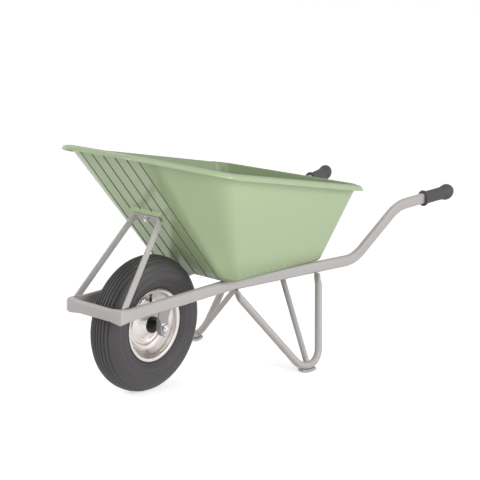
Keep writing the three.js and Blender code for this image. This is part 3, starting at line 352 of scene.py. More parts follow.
def bar(width, thickness, edge, count=5):
    """Rectangle with rounded corners: a quarter circle of the edge radius at each corner."""
    angle = np.linspace(0, np.pi / 2, count)
    quarter = edge * np.stack([np.cos(angle), np.sin(angle)], -1)
    corner = np.array([width / 2 - edge, thickness / 2 - edge])
    turns = [np.array([[np.cos(t), np.sin(t)], [-np.sin(t), np.cos(t)]]) for t in np.arange(4) * np.pi / 2]
    signs = [(1, 1), (-1, 1), (-1, -1), (1, -1)]
    return np.vstack([quarter @ turn + corner * sign for turn, sign in zip(turns, signs)])


def smooth(edge0, edge1, x):
    """Eased step from 0 to 1 between two edges: 3t^2 - 2t^3."""
    t = np.clip((np.asarray(x, float) - edge0) / (edge1 - edge0), 0, 1)
    return t * t * (3 - 2 * t)


def eased(a, corner, b, count):
    """Quadratic curve that leaves a towards the corner and lands on b, for points or for rings."""
    a, corner, b = (np.asarray(part, float) for part in (a, corner, b))
    t = np.linspace(0, 1, count).reshape(-1, *[1] * a.ndim)
    return (1 - t) ** 2 * a + 2 * t * (1 - t) * corner + t ** 2 * b


def turned(name, radius, along, at=(0, 0, 0), axis=(0, 1, 0), steps=64, closed=False, sharp=40):
    """Lathe: each radius runs round the axis through `at`, at its distance along it. A radius may
    be one for a station, or one for each of its angles."""
    axis = unit(axis)
    first = unit(np.cross(axis, (0.3, 0.2, 0.9)))
    second = np.cross(axis, first)
    angle = 2 * np.pi * np.arange(steps) / steps
    spoke = first * np.cos(angle)[:, None] + second * np.sin(angle)[:, None]
    radius, along = np.asarray(radius, float), np.asarray(along, float)
    if radius.ndim == 1:
        radius = np.repeat(radius[:, None], steps, axis=1)
    return skin(name, np.asarray(at) + radius[..., None] * spoke + along[:, None, None] * axis, closed, sharp)


def rounded_line(corners, radii, steps=6):
    """A flat polyline [a, b] whose inner corners are arcs of the given radii."""
    flat = np.asarray(corners, float)
    lifted = np.hstack([flat, np.zeros((len(flat), 1))])
    headings = unit(np.diff(lifted, axis=0))
    out = [flat[:1]]
    for before, after, at, radius in zip(headings, headings[1:], lifted[1:], radii):
        sharp = radius <= 0 or turning(before, after) < 1e-3
        out.append(at[None, :2] if sharp else arc(before, after, at, radius, steps + 1)[0][:, :2])
    out.append(flat[-1:])
    return np.vstack(out)


def sheet_loop(line, thickness):
    """Closed section of bent sheet: the line moved half a thickness to either side along its
    normals, joined by a half circle round each end."""
    line = np.asarray(line, float)
    heading = unit(np.gradient(line, axis=0))
    normal = np.stack([-heading[:, 1], heading[:, 0]], -1)
    half = thickness / 2
    angle = np.linspace(0, np.pi, 7)[1:-1, None]
    end = line[-1] + half * (normal[-1] * np.cos(angle) + heading[-1] * np.sin(angle))
    start = line[0] + half * (-normal[0] * np.cos(angle) - heading[0] * np.sin(angle))
    return np.vstack([line + normal * half, end, (line - normal * half)[::-1], start])


# -------- materials

def linear(colour):
    """Linear RGBA of an sRGB hex colour."""
    srgb = np.array([int(colour[i:i + 2], 16) for i in (1, 3, 5)]) / 255
    return (*np.where(srgb <= 0.04045, srgb / 12.92, ((srgb + 0.055) / 1.055) ** 2.4), 1)


def put(mat, kind, values=None, **settings):
    """Adds one node. Values go to its inputs: a number, a colour, or another node's output."""
    node = mat.node_tree.nodes.new(kind)
    for key, value in settings.items():
        setattr(node, key, value)
    for key, value in (values or {}).items():
        if isinstance(value, bpy.types.NodeSocket):
            mat.node_tree.links.new(value, node.inputs[key])
        else:
            node.inputs[key].default_value = value
    return node


def scale_for(patch):
    """Scale of a noise whose patches are about so many millimetres across: how many in a metre."""
    return 1 / (patch * MM)


def emptied(made):
    """A material or a world whose nodes are cleared away."""
    made.use_nodes = True
    made.node_tree.nodes.clear()
    return made


def new_material(name):
    """An empty material and the coordinates of its piece in metres."""
    mat = emptied(bpy.data.materials.new(name))
    return mat, put(mat, "ShaderNodeTexCoord").outputs["Object"]


def polypropylene(green, paler_green, shaded_inner_green, shadow_green):
    """Injection-moulded polypropylene: glossy from a polished tool, so it mirrors the room softly,
    with waves 110 mm long in the wall and scuffs 18 mm across. The inside is painted darker as shade,
    and the groove value paints shade into the grooves, along the foot, under the lip and on its crest,
    where the surface is also made rougher and mirrors less."""
    mat, place = new_material("moulded_polypropylene")
    groove = put(mat, "ShaderNodeAttribute", attribute_name="groove").outputs["Fac"]
    inside = put(mat, "ShaderNodeAttribute", attribute_name="inside").outputs["Fac"]
    flow = put(mat, "ShaderNodeTexNoise", {"Vector": place, "Scale": scale_for(250), "Detail": 2.0})
    wave = put(mat, "ShaderNodeTexNoise", {"Vector": place, "Scale": scale_for(111.1), "Detail": 1.0})
    scuff = put(mat, "ShaderNodeTexNoise", {"Vector": place, "Scale": scale_for(18.18), "Detail": 8.0,
                                            "Roughness": 0.75})
    tint = put(mat, "ShaderNodeMix", {0: flow.outputs["Fac"], 6: linear(green), 7: linear(paler_green)},
               data_type="RGBA")
    # Painted shade: the inside of the tub is mixed towards a darker green.
    wear_and_inner_shade = put(mat, "ShaderNodeMix", {0: inside, 6: tint.outputs[2], 7: linear(shaded_inner_green)},
               data_type="RGBA")
    # Painted shade: the groove value mixes the colour towards a dark green in the grooves, along the foot,
    # under the lip and on its crest.
    colour = put(mat, "ShaderNodeMix", {0: groove, 6: wear_and_inner_shade.outputs[2], 7: linear(shadow_green)},
                 data_type="RGBA")
    dull = put(mat, "ShaderNodeMapRange", {"Value": scuff.outputs["Fac"], "From Min": 0.4, "From Max": 0.75,
                                           "To Min": 0.13, "To Max": 0.22})
    painted_shade_and_matt = put(mat, "ShaderNodeMath", {0: groove, 1: 0.6, 2: dull.outputs["Result"]},
                operation="MULTIPLY_ADD")
    gloss = put(mat, "ShaderNodeMapRange", {"Value": groove, "To Min": 0.5, "To Max": 0.0})
    bump = put(mat, "ShaderNodeBump", {"Height": wave.outputs["Fac"], "Strength": 0.25, "Distance": 2 * MM})
    shader = put(mat, "ShaderNodeBsdfPrincipled", {
        "Base Color": colour.outputs[2], "Roughness": painted_shade_and_matt.outputs[0], "IOR": 1.49,
        "Specular IOR Level": gloss.outputs["Result"], "Normal": bump.outputs["Normal"]})
    put(mat, "ShaderNodeOutputMaterial", {"Surface": shader.outputs["BSDF"]})
    return mat


def powder_coat(name, dark, light, thin="#cfcbc7"):
    """Polyester powder coat on steel: semi-gloss, with an orange peel 2.4 mm across, shades 70 mm
    across, and paint that is thin and paler on the edges."""
    mat, place = new_material(name)
    cloud = put(mat, "ShaderNodeTexNoise", {"Vector": place, "Scale": scale_for(71.43), "Detail": 4.0})
    peel = put(mat, "ShaderNodeTexNoise", {"Vector": place, "Scale": scale_for(2.381), "Detail": 2.0})
    tint = put(mat, "ShaderNodeMix", {0: cloud.outputs["Fac"], 6: linear(dark), 7: linear(light)},
               data_type="RGBA")
    edge = put(mat, "ShaderNodeNewGeometry")
    wear_and_inner_shade = put(mat, "ShaderNodeMapRange", {"Value": edge.outputs["Pointiness"], "From Min": 0.52,
                                           "From Max": 0.62, "To Max": 0.35})
    paint = put(mat, "ShaderNodeMix", {0: wear_and_inner_shade.outputs["Result"], 6: tint.outputs[2], 7: linear(thin)},
                data_type="RGBA")
    dull = put(mat, "ShaderNodeMapRange", {"Value": cloud.outputs["Fac"], "To Min": 0.36, "To Max": 0.5})
    bump = put(mat, "ShaderNodeBump", {"Height": peel.outputs["Fac"], "Strength": 0.12,
                                       "Distance": 0.4 * MM})
    shader = put(mat, "ShaderNodeBsdfPrincipled", {
        "Base Color": paint.outputs[2], "Roughness": dull.outputs["Result"],
        "Normal": bump.outputs["Normal"]})
    put(mat, "ShaderNodeOutputMaterial", {"Surface": shader.outputs["BSDF"]})
    return mat


def zinc(name, dark, light, rough):
    """Bright zinc plate on steel, under a clear passivate with faint cloudy patches 17 mm across.
    Its grain is drawn 1.1 mm across, coarser than the real one, which is too fine to show."""
    mat, place = new_material(name)
    cloud = put(mat, "ShaderNodeTexNoise", {"Vector": place, "Scale": scale_for(16.67), "Detail": 6.0,
                                            "Roughness": 0.6})
    grain = put(mat, "ShaderNodeTexNoise", {"Vector": place, "Scale": scale_for(1.111)})
    tint = put(mat, "ShaderNodeMix", {0: cloud.outputs["Fac"], 6: linear(dark), 7: linear(light)},
               data_type="RGBA")
    dull = put(mat, "ShaderNodeMapRange", {"Value": cloud.outputs["Fac"], "From Min": 0.3, "From Max": 0.7,
                                           "To Min": rough - 0.05, "To Max": rough + 0.07})
    bump = put(mat, "ShaderNodeBump", {"Height": grain.outputs["Fac"], "Strength": 0.05,
                                       "Distance": 0.2 * MM})
    shader = put(mat, "ShaderNodeBsdfPrincipled", {
        "Base Color": tint.outputs[2], "Roughness": dull.outputs["Result"], "Metallic": 1.0,
        "Normal": bump.outputs["Normal"]})
    put(mat, "ShaderNodeOutputMaterial", {"Surface": shader.outputs["BSDF"]})
    return mat


def rubber(name, dark, light, rough, grit, depth):
    """Rubber or nylon with carbon black: dull, with a slight bloom 42 mm across and a mould grain
    of the given grit and depth in millimetres. The grit is drawn coarser than the real one, which
    is too fine to show."""
    mat, place = new_material(name)
    bloom = put(mat, "ShaderNodeTexNoise", {"Vector": place, "Scale": scale_for(41.67), "Detail": 6.0,
                                            "Roughness": 0.65})
    grain = put(mat, "ShaderNodeTexNoise", {"Vector": place, "Scale": scale_for(grit), "Detail": 3.0})
    tint = put(mat, "ShaderNodeMix", {0: bloom.outputs["Fac"], 6: linear(dark), 7: linear(light)},
               data_type="RGBA")
    dull = put(mat, "ShaderNodeMapRange", {"Value": bloom.outputs["Fac"], "From Min": 0.3, "From Max": 0.7,
                                           "To Min": rough - 0.08, "To Max": rough + 0.06})
    bump = put(mat, "ShaderNodeBump", {"Height": grain.outputs["Fac"], "Strength": 0.25,
                                       "Distance": depth * MM})
    shader = put(mat, "ShaderNodeBsdfPrincipled", {
        "Base Color": tint.outputs[2], "Roughness": dull.outputs["Result"], "Normal": bump.outputs["Normal"]})
    put(mat, "ShaderNodeOutputMaterial", {"Surface": shader.outputs["BSDF"]})
    return mat


# The third green paints the tub's inside darker as shade; the fourth is the painted shade in the grooves,
# along the foot, under the lip and on its crest.
TUB_PLASTIC = polypropylene("#a9bb92", "#acbe95", "#98a985", "#2e3c24")
# The axle brackets get the frame's paint made darker: painted shade for the rail's shadow over them.
FRAME_PAINT = powder_coat("grey_powder_coat", "#b5b0af", "#bcb7b6")
SHADED_BRACKET_PAINT = powder_coat("shaded_grey_powder_coat", "#9a9695", "#a29e9d")
BOLT_ZINC = zinc("bright_zinc_plate", "#d2d3d4", "#e6e7e7", 0.2)
RIM_ZINC = zinc("zinc_plated_rim_steel", "#cec7c4", "#dcd6d3", 0.29)
TYRE_RUBBER = rubber("tyre_rubber", "#383538", "#474447", 0.5, 1.429, 0.3)
TUBE_RUBBER = rubber("butyl_rubber", "#1f1f20", "#2a2a2b", 0.6, 2.0, 0.2)
GRIP_RUBBER = rubber("grip_rubber", "#3f3d41", "#4b494d", 0.62, 1.538, 0.3)
BLACK_NYLON = rubber("black_nylon", "#0b0b0c", "#131314", 0.5, 2.5, 0.2)

# What most pieces have in common: material, slot and body.
PAINTED = (FRAME_PAINT, "frame_paint", "frame")
PLATED = (BOLT_ZINC, "zinc", "frame")
NYLON = (BLACK_NYLON, "black_plastic", "wheel")


def finish(piece, material, slot, body, *nodes):
    """Gives a piece its material and body, and hides the nodes that it stands for."""
    piece.data.materials.append(material)
    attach(piece, body)
    if nodes:
        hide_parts(*nodes)
    return piece


# -------- course of the rails

def mirrored(points, side):
    """Points with their Y turned to the given side."""
    return np.asarray(points, float) * (1, side, 1)


def rail_y(x):
    """Half spacing of the rails: parallel at the front, splayed behind the front members."""
    return RAIL_HALF_SPACING + SPLAY_SLOPE * np.maximum(0, x - SPLAY_X)


def rail_z(x):
    """Height of the rail's centre line, on two straight stretches."""
    return np.interp(x, [FRONT_X, SPLAY_X, LOW_BEND_X], [FRONT_Z, SPLAY_Z, LOW_BEND_Z])


GRIP_END = np.array([GRIP_END_X, rail_y(GRIP_END_X), HIGH_BEND_Z + HANDLE_SLOPE * (GRIP_END_X - HIGH_BEND_X)])
HIGH_CORNER = np.array([HIGH_BEND_X, rail_y(HIGH_BEND_X), HIGH_BEND_Z])
HANDLE_AXIS = unit(GRIP_END - HIGH_CORNER)
RAIL_CORNERS = np.array([
    (FRONT_X, RAIL_HALF_SPACING, FRONT_Z), (SPLAY_X, RAIL_HALF_SPACING, SPLAY_Z),
    (LOW_BEND_X, rail_y(LOW_BEND_X), LOW_BEND_Z), HIGH_CORNER,
    GRIP_END - HANDLE_AXIS * (GRIP_END_WALL + GAP)])
FLOOR_SLOPE = (LOW_BEND_Z - SPLAY_Z) / (LOW_BEND_X - SPLAY_X)


def member_top(x):
    """Height of the top of the flat bars between the rails, flush with the rails' tops."""
    return SPLAY_Z + TUBE_HEIGHT / 2 + FLOOR_SLOPE * (x - SPLAY_X)


def floor_under(x):
    """Height of the tub's underside."""
    return member_top(x) + GAP


# -------- frame tubes

def mitred(ring, tangent, side):
    """Slides a ring along the tube until it lies on the corner's 45 degree plane."""
    normal = unit((1, side, 0))
    corner = np.array([FRONT_X, side * RAIL_HALF_SPACING, FRONT_Z])
    away = (ring - corner) @ normal
    return ring - np.outer(away / (tangent @ normal), tangent)


def flared_oval(distance, less=0):
    """The tube's section, taller towards a mitred corner, and smaller where its edge is eased."""
    near = np.clip(1 - distance / FRONT_FLARE_LENGTH, 0, 1)
    return oval(TUBE_WIDTH - less, TUBE_HEIGHT + FRONT_FLARE * near - less)


def across_at(x, y, z):
    """Points and headings of a straight course across the frame."""
    points = np.stack([np.full_like(y, x), y, np.full_like(y, z)], -1)
    return points, np.broadcast_to((0.0, 1.0, 0.0), points.shape)


def rail(side):
    """The oval carried along the rail's path, cut on the mitre at the front."""
    points, tangents = bent_path(mirrored(RAIL_CORNERS, side), RAIL_BENDS)
    across = np.cross(tangents, (0, 0, 1))
    points = np.vstack([points[:1], points[:1] + (SEAM, 0, 0), points[1:]])
    tangents, across = np.vstack([tangents[:1], tangents]), np.vstack([across[:1], across])
    section = flared_oval(points[:, 0] - FRONT_X)
    section[0] = flared_oval(0, 2 * SEAM)
    rings = carried(points, tangents, across, section)
    rings[:2] = [mitred(rings[0], tangents[0], side), mitred(rings[1], tangents[0], side) + (SEAM, 0, 0)]
    return rings


def crossbar():
    """The oval carried straight across the front, cut on both mitres."""
    half = RAIL_HALF_SPACING
    y = np.r_[-half, SEAM - half, np.linspace(-half, -half + FRONT_FLARE_LENGTH, 9)[1:], 0,
              np.linspace(half - FRONT_FLARE_LENGTH, half, 9)[:-1], half - SEAM, half]
    points, tangents = across_at(FRONT_X, y, FRONT_Z)
    section = flared_oval(half - np.abs(y))
    section[[0, -1]] = flared_oval(0, 2 * SEAM)
    rings = carried(points, tangents, (1, 0, 0), section)
    for end, side in ((0, -1), (-1, 1)):
        near = 1 if end == 0 else -2
        rings[end] = mitred(rings[end], tangents[end], side)
        rings[near] = mitred(rings[near], tangents[end], side) - (0, side * SEAM, 0)
    return rings


for name, side in SIDES:
    finish(skin(f"{name}_rail_tube", rail(side)), *PAINTED, f"{name}_rail")
finish(skin("front_cross_tube", crossbar()), *PAINTED, "front_crossbar")


# -------- legs, skids and brace

def seated(rings, tangents, heights):
    """Slides the end rings along the bar until each lies level at its height."""
    for i, height in zip((0, -1), heights):
        rings[i] += np.outer((height - rings[i][:, 2]) / tangents[i, 2], tangents[i])
    return rings


def bridge(foot, knee, radius, *fineness):
    """Path of a bar that rises from one foot, bends over the middle plane and falls to the other."""
    return bent_path([mirrored(foot, -1), mirrored(knee, -1), knee, foot], (radius, radius), *fineness)



FOOT_Z = LEG_RADIUS + GAP + SKID_THICKNESS


def foot_y(x):
    """Half track at the feet, splayed as the rails are."""
    return FOOT_HALF_TRACK + SPLAY_SLOPE * (x - (FOOT_FRONT_X + FOOT_REAR_X) / 2)


def leg_path(side, step=3.0, run=6.0):
    """The V of a leg: down from the rail, round the foot and up again."""
    def top(x, outset):
        """Where the leg meets the underside of the rail."""
        return x, rail_y(x) + outset, rail_z(x) - TUBE_HEIGHT / 2

    corners = [top(LEG_FRONT_X, LEG_FRONT_OUTSET), (FOOT_FRONT_X, foot_y(FOOT_FRONT_X), FOOT_Z),
               (FOOT_REAR_X, foot_y(FOOT_REAR_X), FOOT_Z), top(LEG_REAR_X, LEG_REAR_OUTSET)]
    return bent_path(mirrored(corners, side), (FOOT_BEND_RADIUS, FOOT_BEND_RADIUS), step, run)


def leg(side):
    """Round tube whose ends are pressed to flat ovals where they meet the rail."""
    points, tangents = leg_path(side)
    lengths = np.r_[0, np.cumsum(np.linalg.norm(np.diff(points, axis=0), axis=1))]
    from_end = np.minimum(lengths, lengths[-1] - lengths)
    pressed = 1 - smooth(LEG_FLAT_LENGTH, LEG_TAPER_LENGTH, from_end)
    width = 2 * LEG_RADIUS + (LEG_FLAT_WIDTH - 2 * LEG_RADIUS) * pressed
    height = 2 * LEG_RADIUS + (LEG_FLAT_THICKNESS - 2 * LEG_RADIUS) * pressed
    section = oval(width, height)
    section[..., 1] -= LEG_FLAT_SHIFT * pressed[:, None]
    across = np.cross(tangents[0], tangents[-1])
    rings = carried(points, tangents, across, section)
    return seated(rings, tangents, rail_z(points[[0, -1], 0]) - TUBE_HEIGHT / 2)


def skid(side):
    """A flat strip carried under the foot, following its bends."""
    points, tangents = leg_path(side)
    under = np.abs(np.degrees(np.arcsin(tangents[:, 2]))) < SKID_LIFT_ANGLE
    section = bar(SKID_WIDTH, SKID_THICKNESS, 1.2) - (0, LEG_RADIUS + GAP + SKID_THICKNESS / 2)
    points, tangents = points[under], tangents[under]
    return carried(points, tangents, np.cross((0, 0, 1), tangents), section)


for name, side in SIDES:
    finish(skin(f"{name}_leg_tube", leg(side)), *PAINTED, f"{name}_leg")
    finish(skin(f"{name}_skid_strip", skid(side)), *PAINTED, f"{name}_skid")

brace_foot = ((FOOT_FRONT_X + FOOT_REAR_X) / 2, FOOT_HALF_TRACK - BRACE_FOOT_INSET, FOOT_Z + BRACE_FOOT_RISE)
brace_top_z = member_top(BRACE_TOP_X) - MEMBER_THICKNESS - FLOOR_SLOPE * MEMBER_WIDTH / 2 - GAP - BRACE_RADIUS
brace_top = (BRACE_TOP_X, BRACE_TOP_HALF, brace_top_z)
brace_path = bridge(brace_foot, brace_top, BRACE_BEND_RADIUS)
brace_round = oval(2 * BRACE_RADIUS, 2 * BRACE_RADIUS, 28)
finish(skin("brace_rod", carried(*brace_path, (1, 0, 0), brace_round)), *PAINTED, "leg_brace")


# -------- tub

def plan_half(corners, radii, inset):
    """Right half of a plan outline, front to rear: its corners moved inward by the inset, then
    turned through arcs of their radii less the inset."""
    run = np.array([(corners[0][0], 0), *corners, (corners[-1][0], 0)], float)
    headings = unit(np.diff(run, axis=0))
    before = np.vstack([headings[:1], headings])
    after = np.vstack([headings, headings[-1:]])
    inward = unit(np.stack([before[:, 1] + after[:, 1], -before[:, 0] - after[:, 0]], -1))
    share = np.sqrt((1 + (before * after).sum(axis=1)) / 2)
    moved = run + inward * (inset / share)[:, None]
    return rounded_line(moved, np.maximum(np.array(radii) - inset, GAP), CORNER_POINTS - 1)


def rim_height(x):
    """Bottom edge of the lip's skirt: a straight fall from front to rear with a shallow sag."""
    t = (x - RIM_FRONT_X) / (RIM_REAR_X - RIM_FRONT_X)
    return RIM_FRONT_Z + (RIM_REAR_Z - RIM_FRONT_Z) * t - 4 * RIM_SAG * t * (1 - t)


def rim_ring(inset, rise):
    """Half ring that follows the lip, moved inward and up."""
    plan = plan_half(RIM_PLAN, RIM_CORNERS, inset)
    return np.column_stack([plan, rim_height(plan[:, 0]) + rise])


def floor_ring(inset, rise):
    """Half ring that follows the tub's floor, moved inward and up."""
    plan = plan_half(FLOOR_PLAN, FLOOR_CORNERS, inset)
    return np.column_stack([plan, floor_under(plan[:, 0]) + rise])


def between(a, b, shares):
    """Rings at the given shares of the way from a to b."""
    return a + (b - a) * np.asarray(shares)[:, None, None]


LIP_TOP = LIP_SKIRT + LIP_CROWN
WALL_TOP, WALL_FOOT = rim_ring(LIP_WIDTH, LIP_TOP - TUB_WALL), floor_ring(0, 0)
CAVITY_TOP, CAVITY_FOOT = rim_ring(LIP_WIDTH + TUB_WALL, LIP_TOP), floor_ring(TUB_WALL, TUB_FLOOR)
PANEL_FOOT = np.array([FLOOR_FRONT_X, 0, floor_under(FLOOR_FRONT_X)])
PANEL_HEAD = WALL_TOP[0]
PANEL_UP = unit(PANEL_HEAD - PANEL_FOOT)
PANEL_OUT = np.cross(PANEL_UP, (0, 1, 0))
PANEL_LENGTH = np.linalg.norm(PANEL_HEAD - PANEL_FOOT)
SEAT_ALONG = (STRAP_TOP_Z - PANEL_FOOT[2]) / PANEL_UP[2]
SEAT_MIDDLE = PANEL_FOOT + PANEL_UP * SEAT_ALONG


def foot_radius(ring):
    """Rounding under the wall at each point of a ring, which grows from the sides to the front."""
    return FLOOR_FRONT_RADIUS + (FLOOR_EDGE_RADIUS - FLOOR_FRONT_RADIUS) * smooth(
        FLOOR_FRONT_X, FLOOR_CHEEK_X, ring[:, :1])


def foot_directions(foot, top):
    """Unit steps from a foot ring up its wall and in over its floor."""
    inward = (foot[1:-1].mean(axis=0) - foot) * (1, 0, 0) + foot * (0, -1, 0)
    inward = unit(inward * (1, 1, 0))
    inward[:, 2] = FLOOR_SLOPE * inward[:, 0]
    return unit(top - foot), inward


def tub_rings():
    """Half rings from the middle of the underside, up the outer wall, round the lip and down the
    inner wall to the middle of the floor; and the number of rings on the outer wall. They lie
    close together where the strap's seat and its ledge begin and end, and under the lip."""
    up, inward = foot_directions(WALL_FOOT, WALL_TOP)
    inner_up, inner_inward = foot_directions(CAVITY_FOOT, CAVITY_TOP)
    radius, inner_radius, soft = foot_radius(WALL_FOOT), foot_radius(CAVITY_FOOT) - TUB_WALL, LIP_FILLET
    pad = SEAT_ALONG + np.array([-14.5, -13.3, -12.6, -12, -11.4, -10.5, -5, 0, 5, 10.5, 11.5, 12.2, 12.8,
                                 13.5, 15, 16.5, 18, 19, 20, 21, 22, 23, 24.5, 26])
    plain = np.r_[np.linspace(FLOOR_FRONT_RADIUS + 12, pad[0] - 12, 10),
                  np.linspace(pad[-1] + 12, PANEL_LENGTH - 34, 6),
                  PANEL_LENGTH - np.array([28, 22, 18, 16, 14, 12, 10, 8, 6])]
    outer = np.concatenate([
        eased(WALL_FOOT + inward * radius, WALL_FOOT, WALL_FOOT + up * radius, FOOT_RINGS),
        between(WALL_FOOT, WALL_TOP, np.sort(np.r_[pad, plain]) / PANEL_LENGTH),
        eased(WALL_TOP - up * soft, WALL_TOP, rim_ring(LIP_WIDTH - soft, LIP_TOP - TUB_WALL - 1), 5)])
    lip = [rim_ring(inset, rise) for inset, rise in LIP_LINE]
    crest = eased(rim_ring(LIP_WIDTH + 0.5, LIP_TOP - 0.2), CAVITY_TOP, CAVITY_TOP - inner_up * TUB_WALL, 6)
    inner = np.concatenate([
        between(CAVITY_TOP, CAVITY_FOOT, np.linspace(0.03, 0.93, 14)),
        eased(CAVITY_FOOT + inner_up * inner_radius, CAVITY_FOOT,
              CAVITY_FOOT + inner_inward * inner_radius, 8)])
    return np.concatenate([outer, lip, crest, inner]), len(outer)


def front_columns():
    """Distances from the middle plane at which the front panel is divided: close together across
    each groove and each end of the strap's seat."""
    grooves = (np.arange(3) + 0.5)[:, None] * GROOVE_PITCH
    close = grooves + np.array([-4.2, -3.3, -2.8, -2.3, -1.8, -1.2, 0, 1.2, 1.8, 2.3, 2.8, 3.3, 4.2])
    ends = SEAT_HALF + np.array([-1.2, -0.4, 0.4, 1.2, 2, 2.8, 3.6])
    even = np.array([0, 6, 12, 29, 36, 43, 50, 55, 75, 82, 89, 96, 102])
    return np.sort(np.r_[close.ravel(), ends, even])


def laid_out(rows, front):
    """Each half ring divided anew: at set distances from the middle plane across the front, then
    by shares of the first corner, then along the rest of the ring."""
    bend = CORNER_POINTS
    share = np.linspace(0, 1, 13)[1:]
    rest = np.r_[np.linspace(bend, bend + 1, 7)[1:], np.arange(bend + 2, 2 * bend + 1),
                 np.linspace(2 * bend, 2 * bend + 1, 25)[1:], np.arange(2 * bend + 2, 3 * bend + 1),
                 np.linspace(3 * bend, 3 * bend + 1, 13)[1:]]
    count = np.arange(rows.shape[1])
    out = []
    for row in rows:
        start = np.interp(front[-1], row[:bend + 1, 1], count[:bend + 1])
        at = np.concatenate([np.interp(front, row[:bend + 1, 1], count[:bend + 1]),
                             start + (bend - start) * share, rest])
        out.append(np.column_stack([np.interp(at, count, row[:, k]) for k in range(3)]))
    return np.array(out)


def tub():
    """The shell from its rings. On the outer face each point moves along the panel's normal: in
    for a groove, whose depth eases from its middle to its shoulders, and out for the strap's seat
    and the rounded ledge over it. Two values at each point tell the material how much painted
    shade it gets (groove) and whether it is inside the tub (inside), which is painted darker as shade."""
    rows, outside = tub_rings()
    front = front_columns()
    half = laid_out(rows, front)
    line = half[:outside, 0]
    slope = np.gradient(line, axis=0)
    out = unit(np.cross(slope, (0, 1, 0)))
    along = (line - PANEL_FOOT) @ PANEL_UP
    y = front[None, :]
    nearest = np.abs((y / GROOVE_PITCH) % 1 - 0.5) * GROOVE_PITCH
    groove = (1 - smooth(*GROOVE_SHOULDER, nearest)) * np.where(y > OUTER_GROOVE_START, OUTER_GROOVE_SHARE, 1)
    rise = along[:, None] - SEAT_ALONG
    seat = SEAT_RISE * smooth(*SEAT_LOW, rise) * (1 - smooth(*SEAT_HIGH, rise)) \
        * (1 - smooth(SEAT_HALF, SEAT_HALF + SEAT_END, y))
    ledge = (LEDGE_RISE - SEAT_RISE) * smooth(*LEDGE_LOW, rise) * (1 - smooth(*LEDGE_HIGH, rise)) \
        * (1 - smooth(SEAT_HALF + 1, SEAT_HALF + 1 + SEAT_END, y))
    # The grooves rise out of the foot's rounding and run out under the lip.
    ring = np.arange(outside)[:, None]
    head = 1 - smooth(PANEL_LENGTH - 17, PANEL_LENGTH - 9, along)[:, None]
    fade = np.where(ring < FOOT_RINGS, smooth(1, 6, ring), smooth(4, 11, ring) * head)
    cut = groove * fade * (1 - np.clip(seat / SEAT_RISE, 0, 1))
    half[:outside, :len(front)] += out[:, None] * (seat + ledge - GROOVE_DEPTH * cut)[..., None]
    # Painted shade lies along the foot, in the fillet under the lip, on its crest and in the grooves.
    painted_shade_and_matt, inner = np.zeros(half.shape[:2]), np.zeros(half.shape[:2])
    # The inside of the tub is marked here for its painted darker shade.
    inner[outside + len(LIP_LINE):] = 1
    row = np.arange(len(half))[:, None]
    fillet = smooth(outside - 4, outside - 1, row) * (1 - smooth(outside + 2, outside + 5, row))
    painted_shade_and_matt[:] = FOOT_PAINTED_SHADE * (1 - smooth(5, 13, row)) + FILLET_PAINTED_SHADE * fillet
    painted_shade_and_matt[outside + 14:outside + len(LIP_LINE) + 4] = CREST_PAINTED_SHADE
    painted_shade_and_matt[:outside, :len(front)] = np.maximum(GROOVE_PAINTED_SHADE * cut, painted_shade_and_matt[:outside, :len(front)])
    whole, painted_shade_and_matt, inner = (np.concatenate([part, mirror[:, -2:0:-1]], axis=1)
                           for part, mirror in ((half, half * (1, -1, 1)), (painted_shade_and_matt, painted_shade_and_matt), (inner, inner)))
    piece = skin("tub_shell", whole, sharp=55)
    # The groove value carries the painted shade, and the inside value marks the inside that is painted darker
    # as shade.
    for name, values in (("groove", painted_shade_and_matt), ("inside", inner)):
        layer = piece.data.attributes.new(name, "FLOAT", "POINT")
        layer.data.foreach_set("value", np.append(values.ravel(), values[[0, -1], 0]))
    return piece


finish(tub(), TUB_PLASTIC, "tub", "frame", "tub")


# -------- strap over the tub's front

STRAP_MIDDLE = SEAT_MIDDLE + PANEL_OUT * (SEAT_RISE + GAP + STRAP_THICKNESS / 2)


def strap():
    """A rounded bar bent flatwise: up from one rail, across the seat and down to the other."""
    foot_x = FRONT_X + STRAP_FOOT_BACK
    foot = np.array([foot_x, RAIL_HALF_SPACING - STRAP_FOOT_INSET, rail_z(foot_x) + TUBE_HEIGHT / 2])
    knee = np.array([STRAP_MIDDLE[0], STRAP_TOP_HALF, STRAP_MIDDLE[2]])
    points, tangents = bridge(foot, knee, STRAP_BEND_RADIUS, 5, 15)
    rings = carried(points, tangents, PANEL_UP, bar(STRAP_WIDTH, STRAP_THICKNESS, 1.1))
    rest = FRONT_Z + (TUBE_HEIGHT + FRONT_FLARE) / 2 + GAP
    return seated(rings, tangents, (rest, rest))


finish(skin("front_strap", strap()), *PAINTED, "tub_bracket")


# -------- wheel

AXLE_POINT = np.array([0, 0, AXLE_Z])


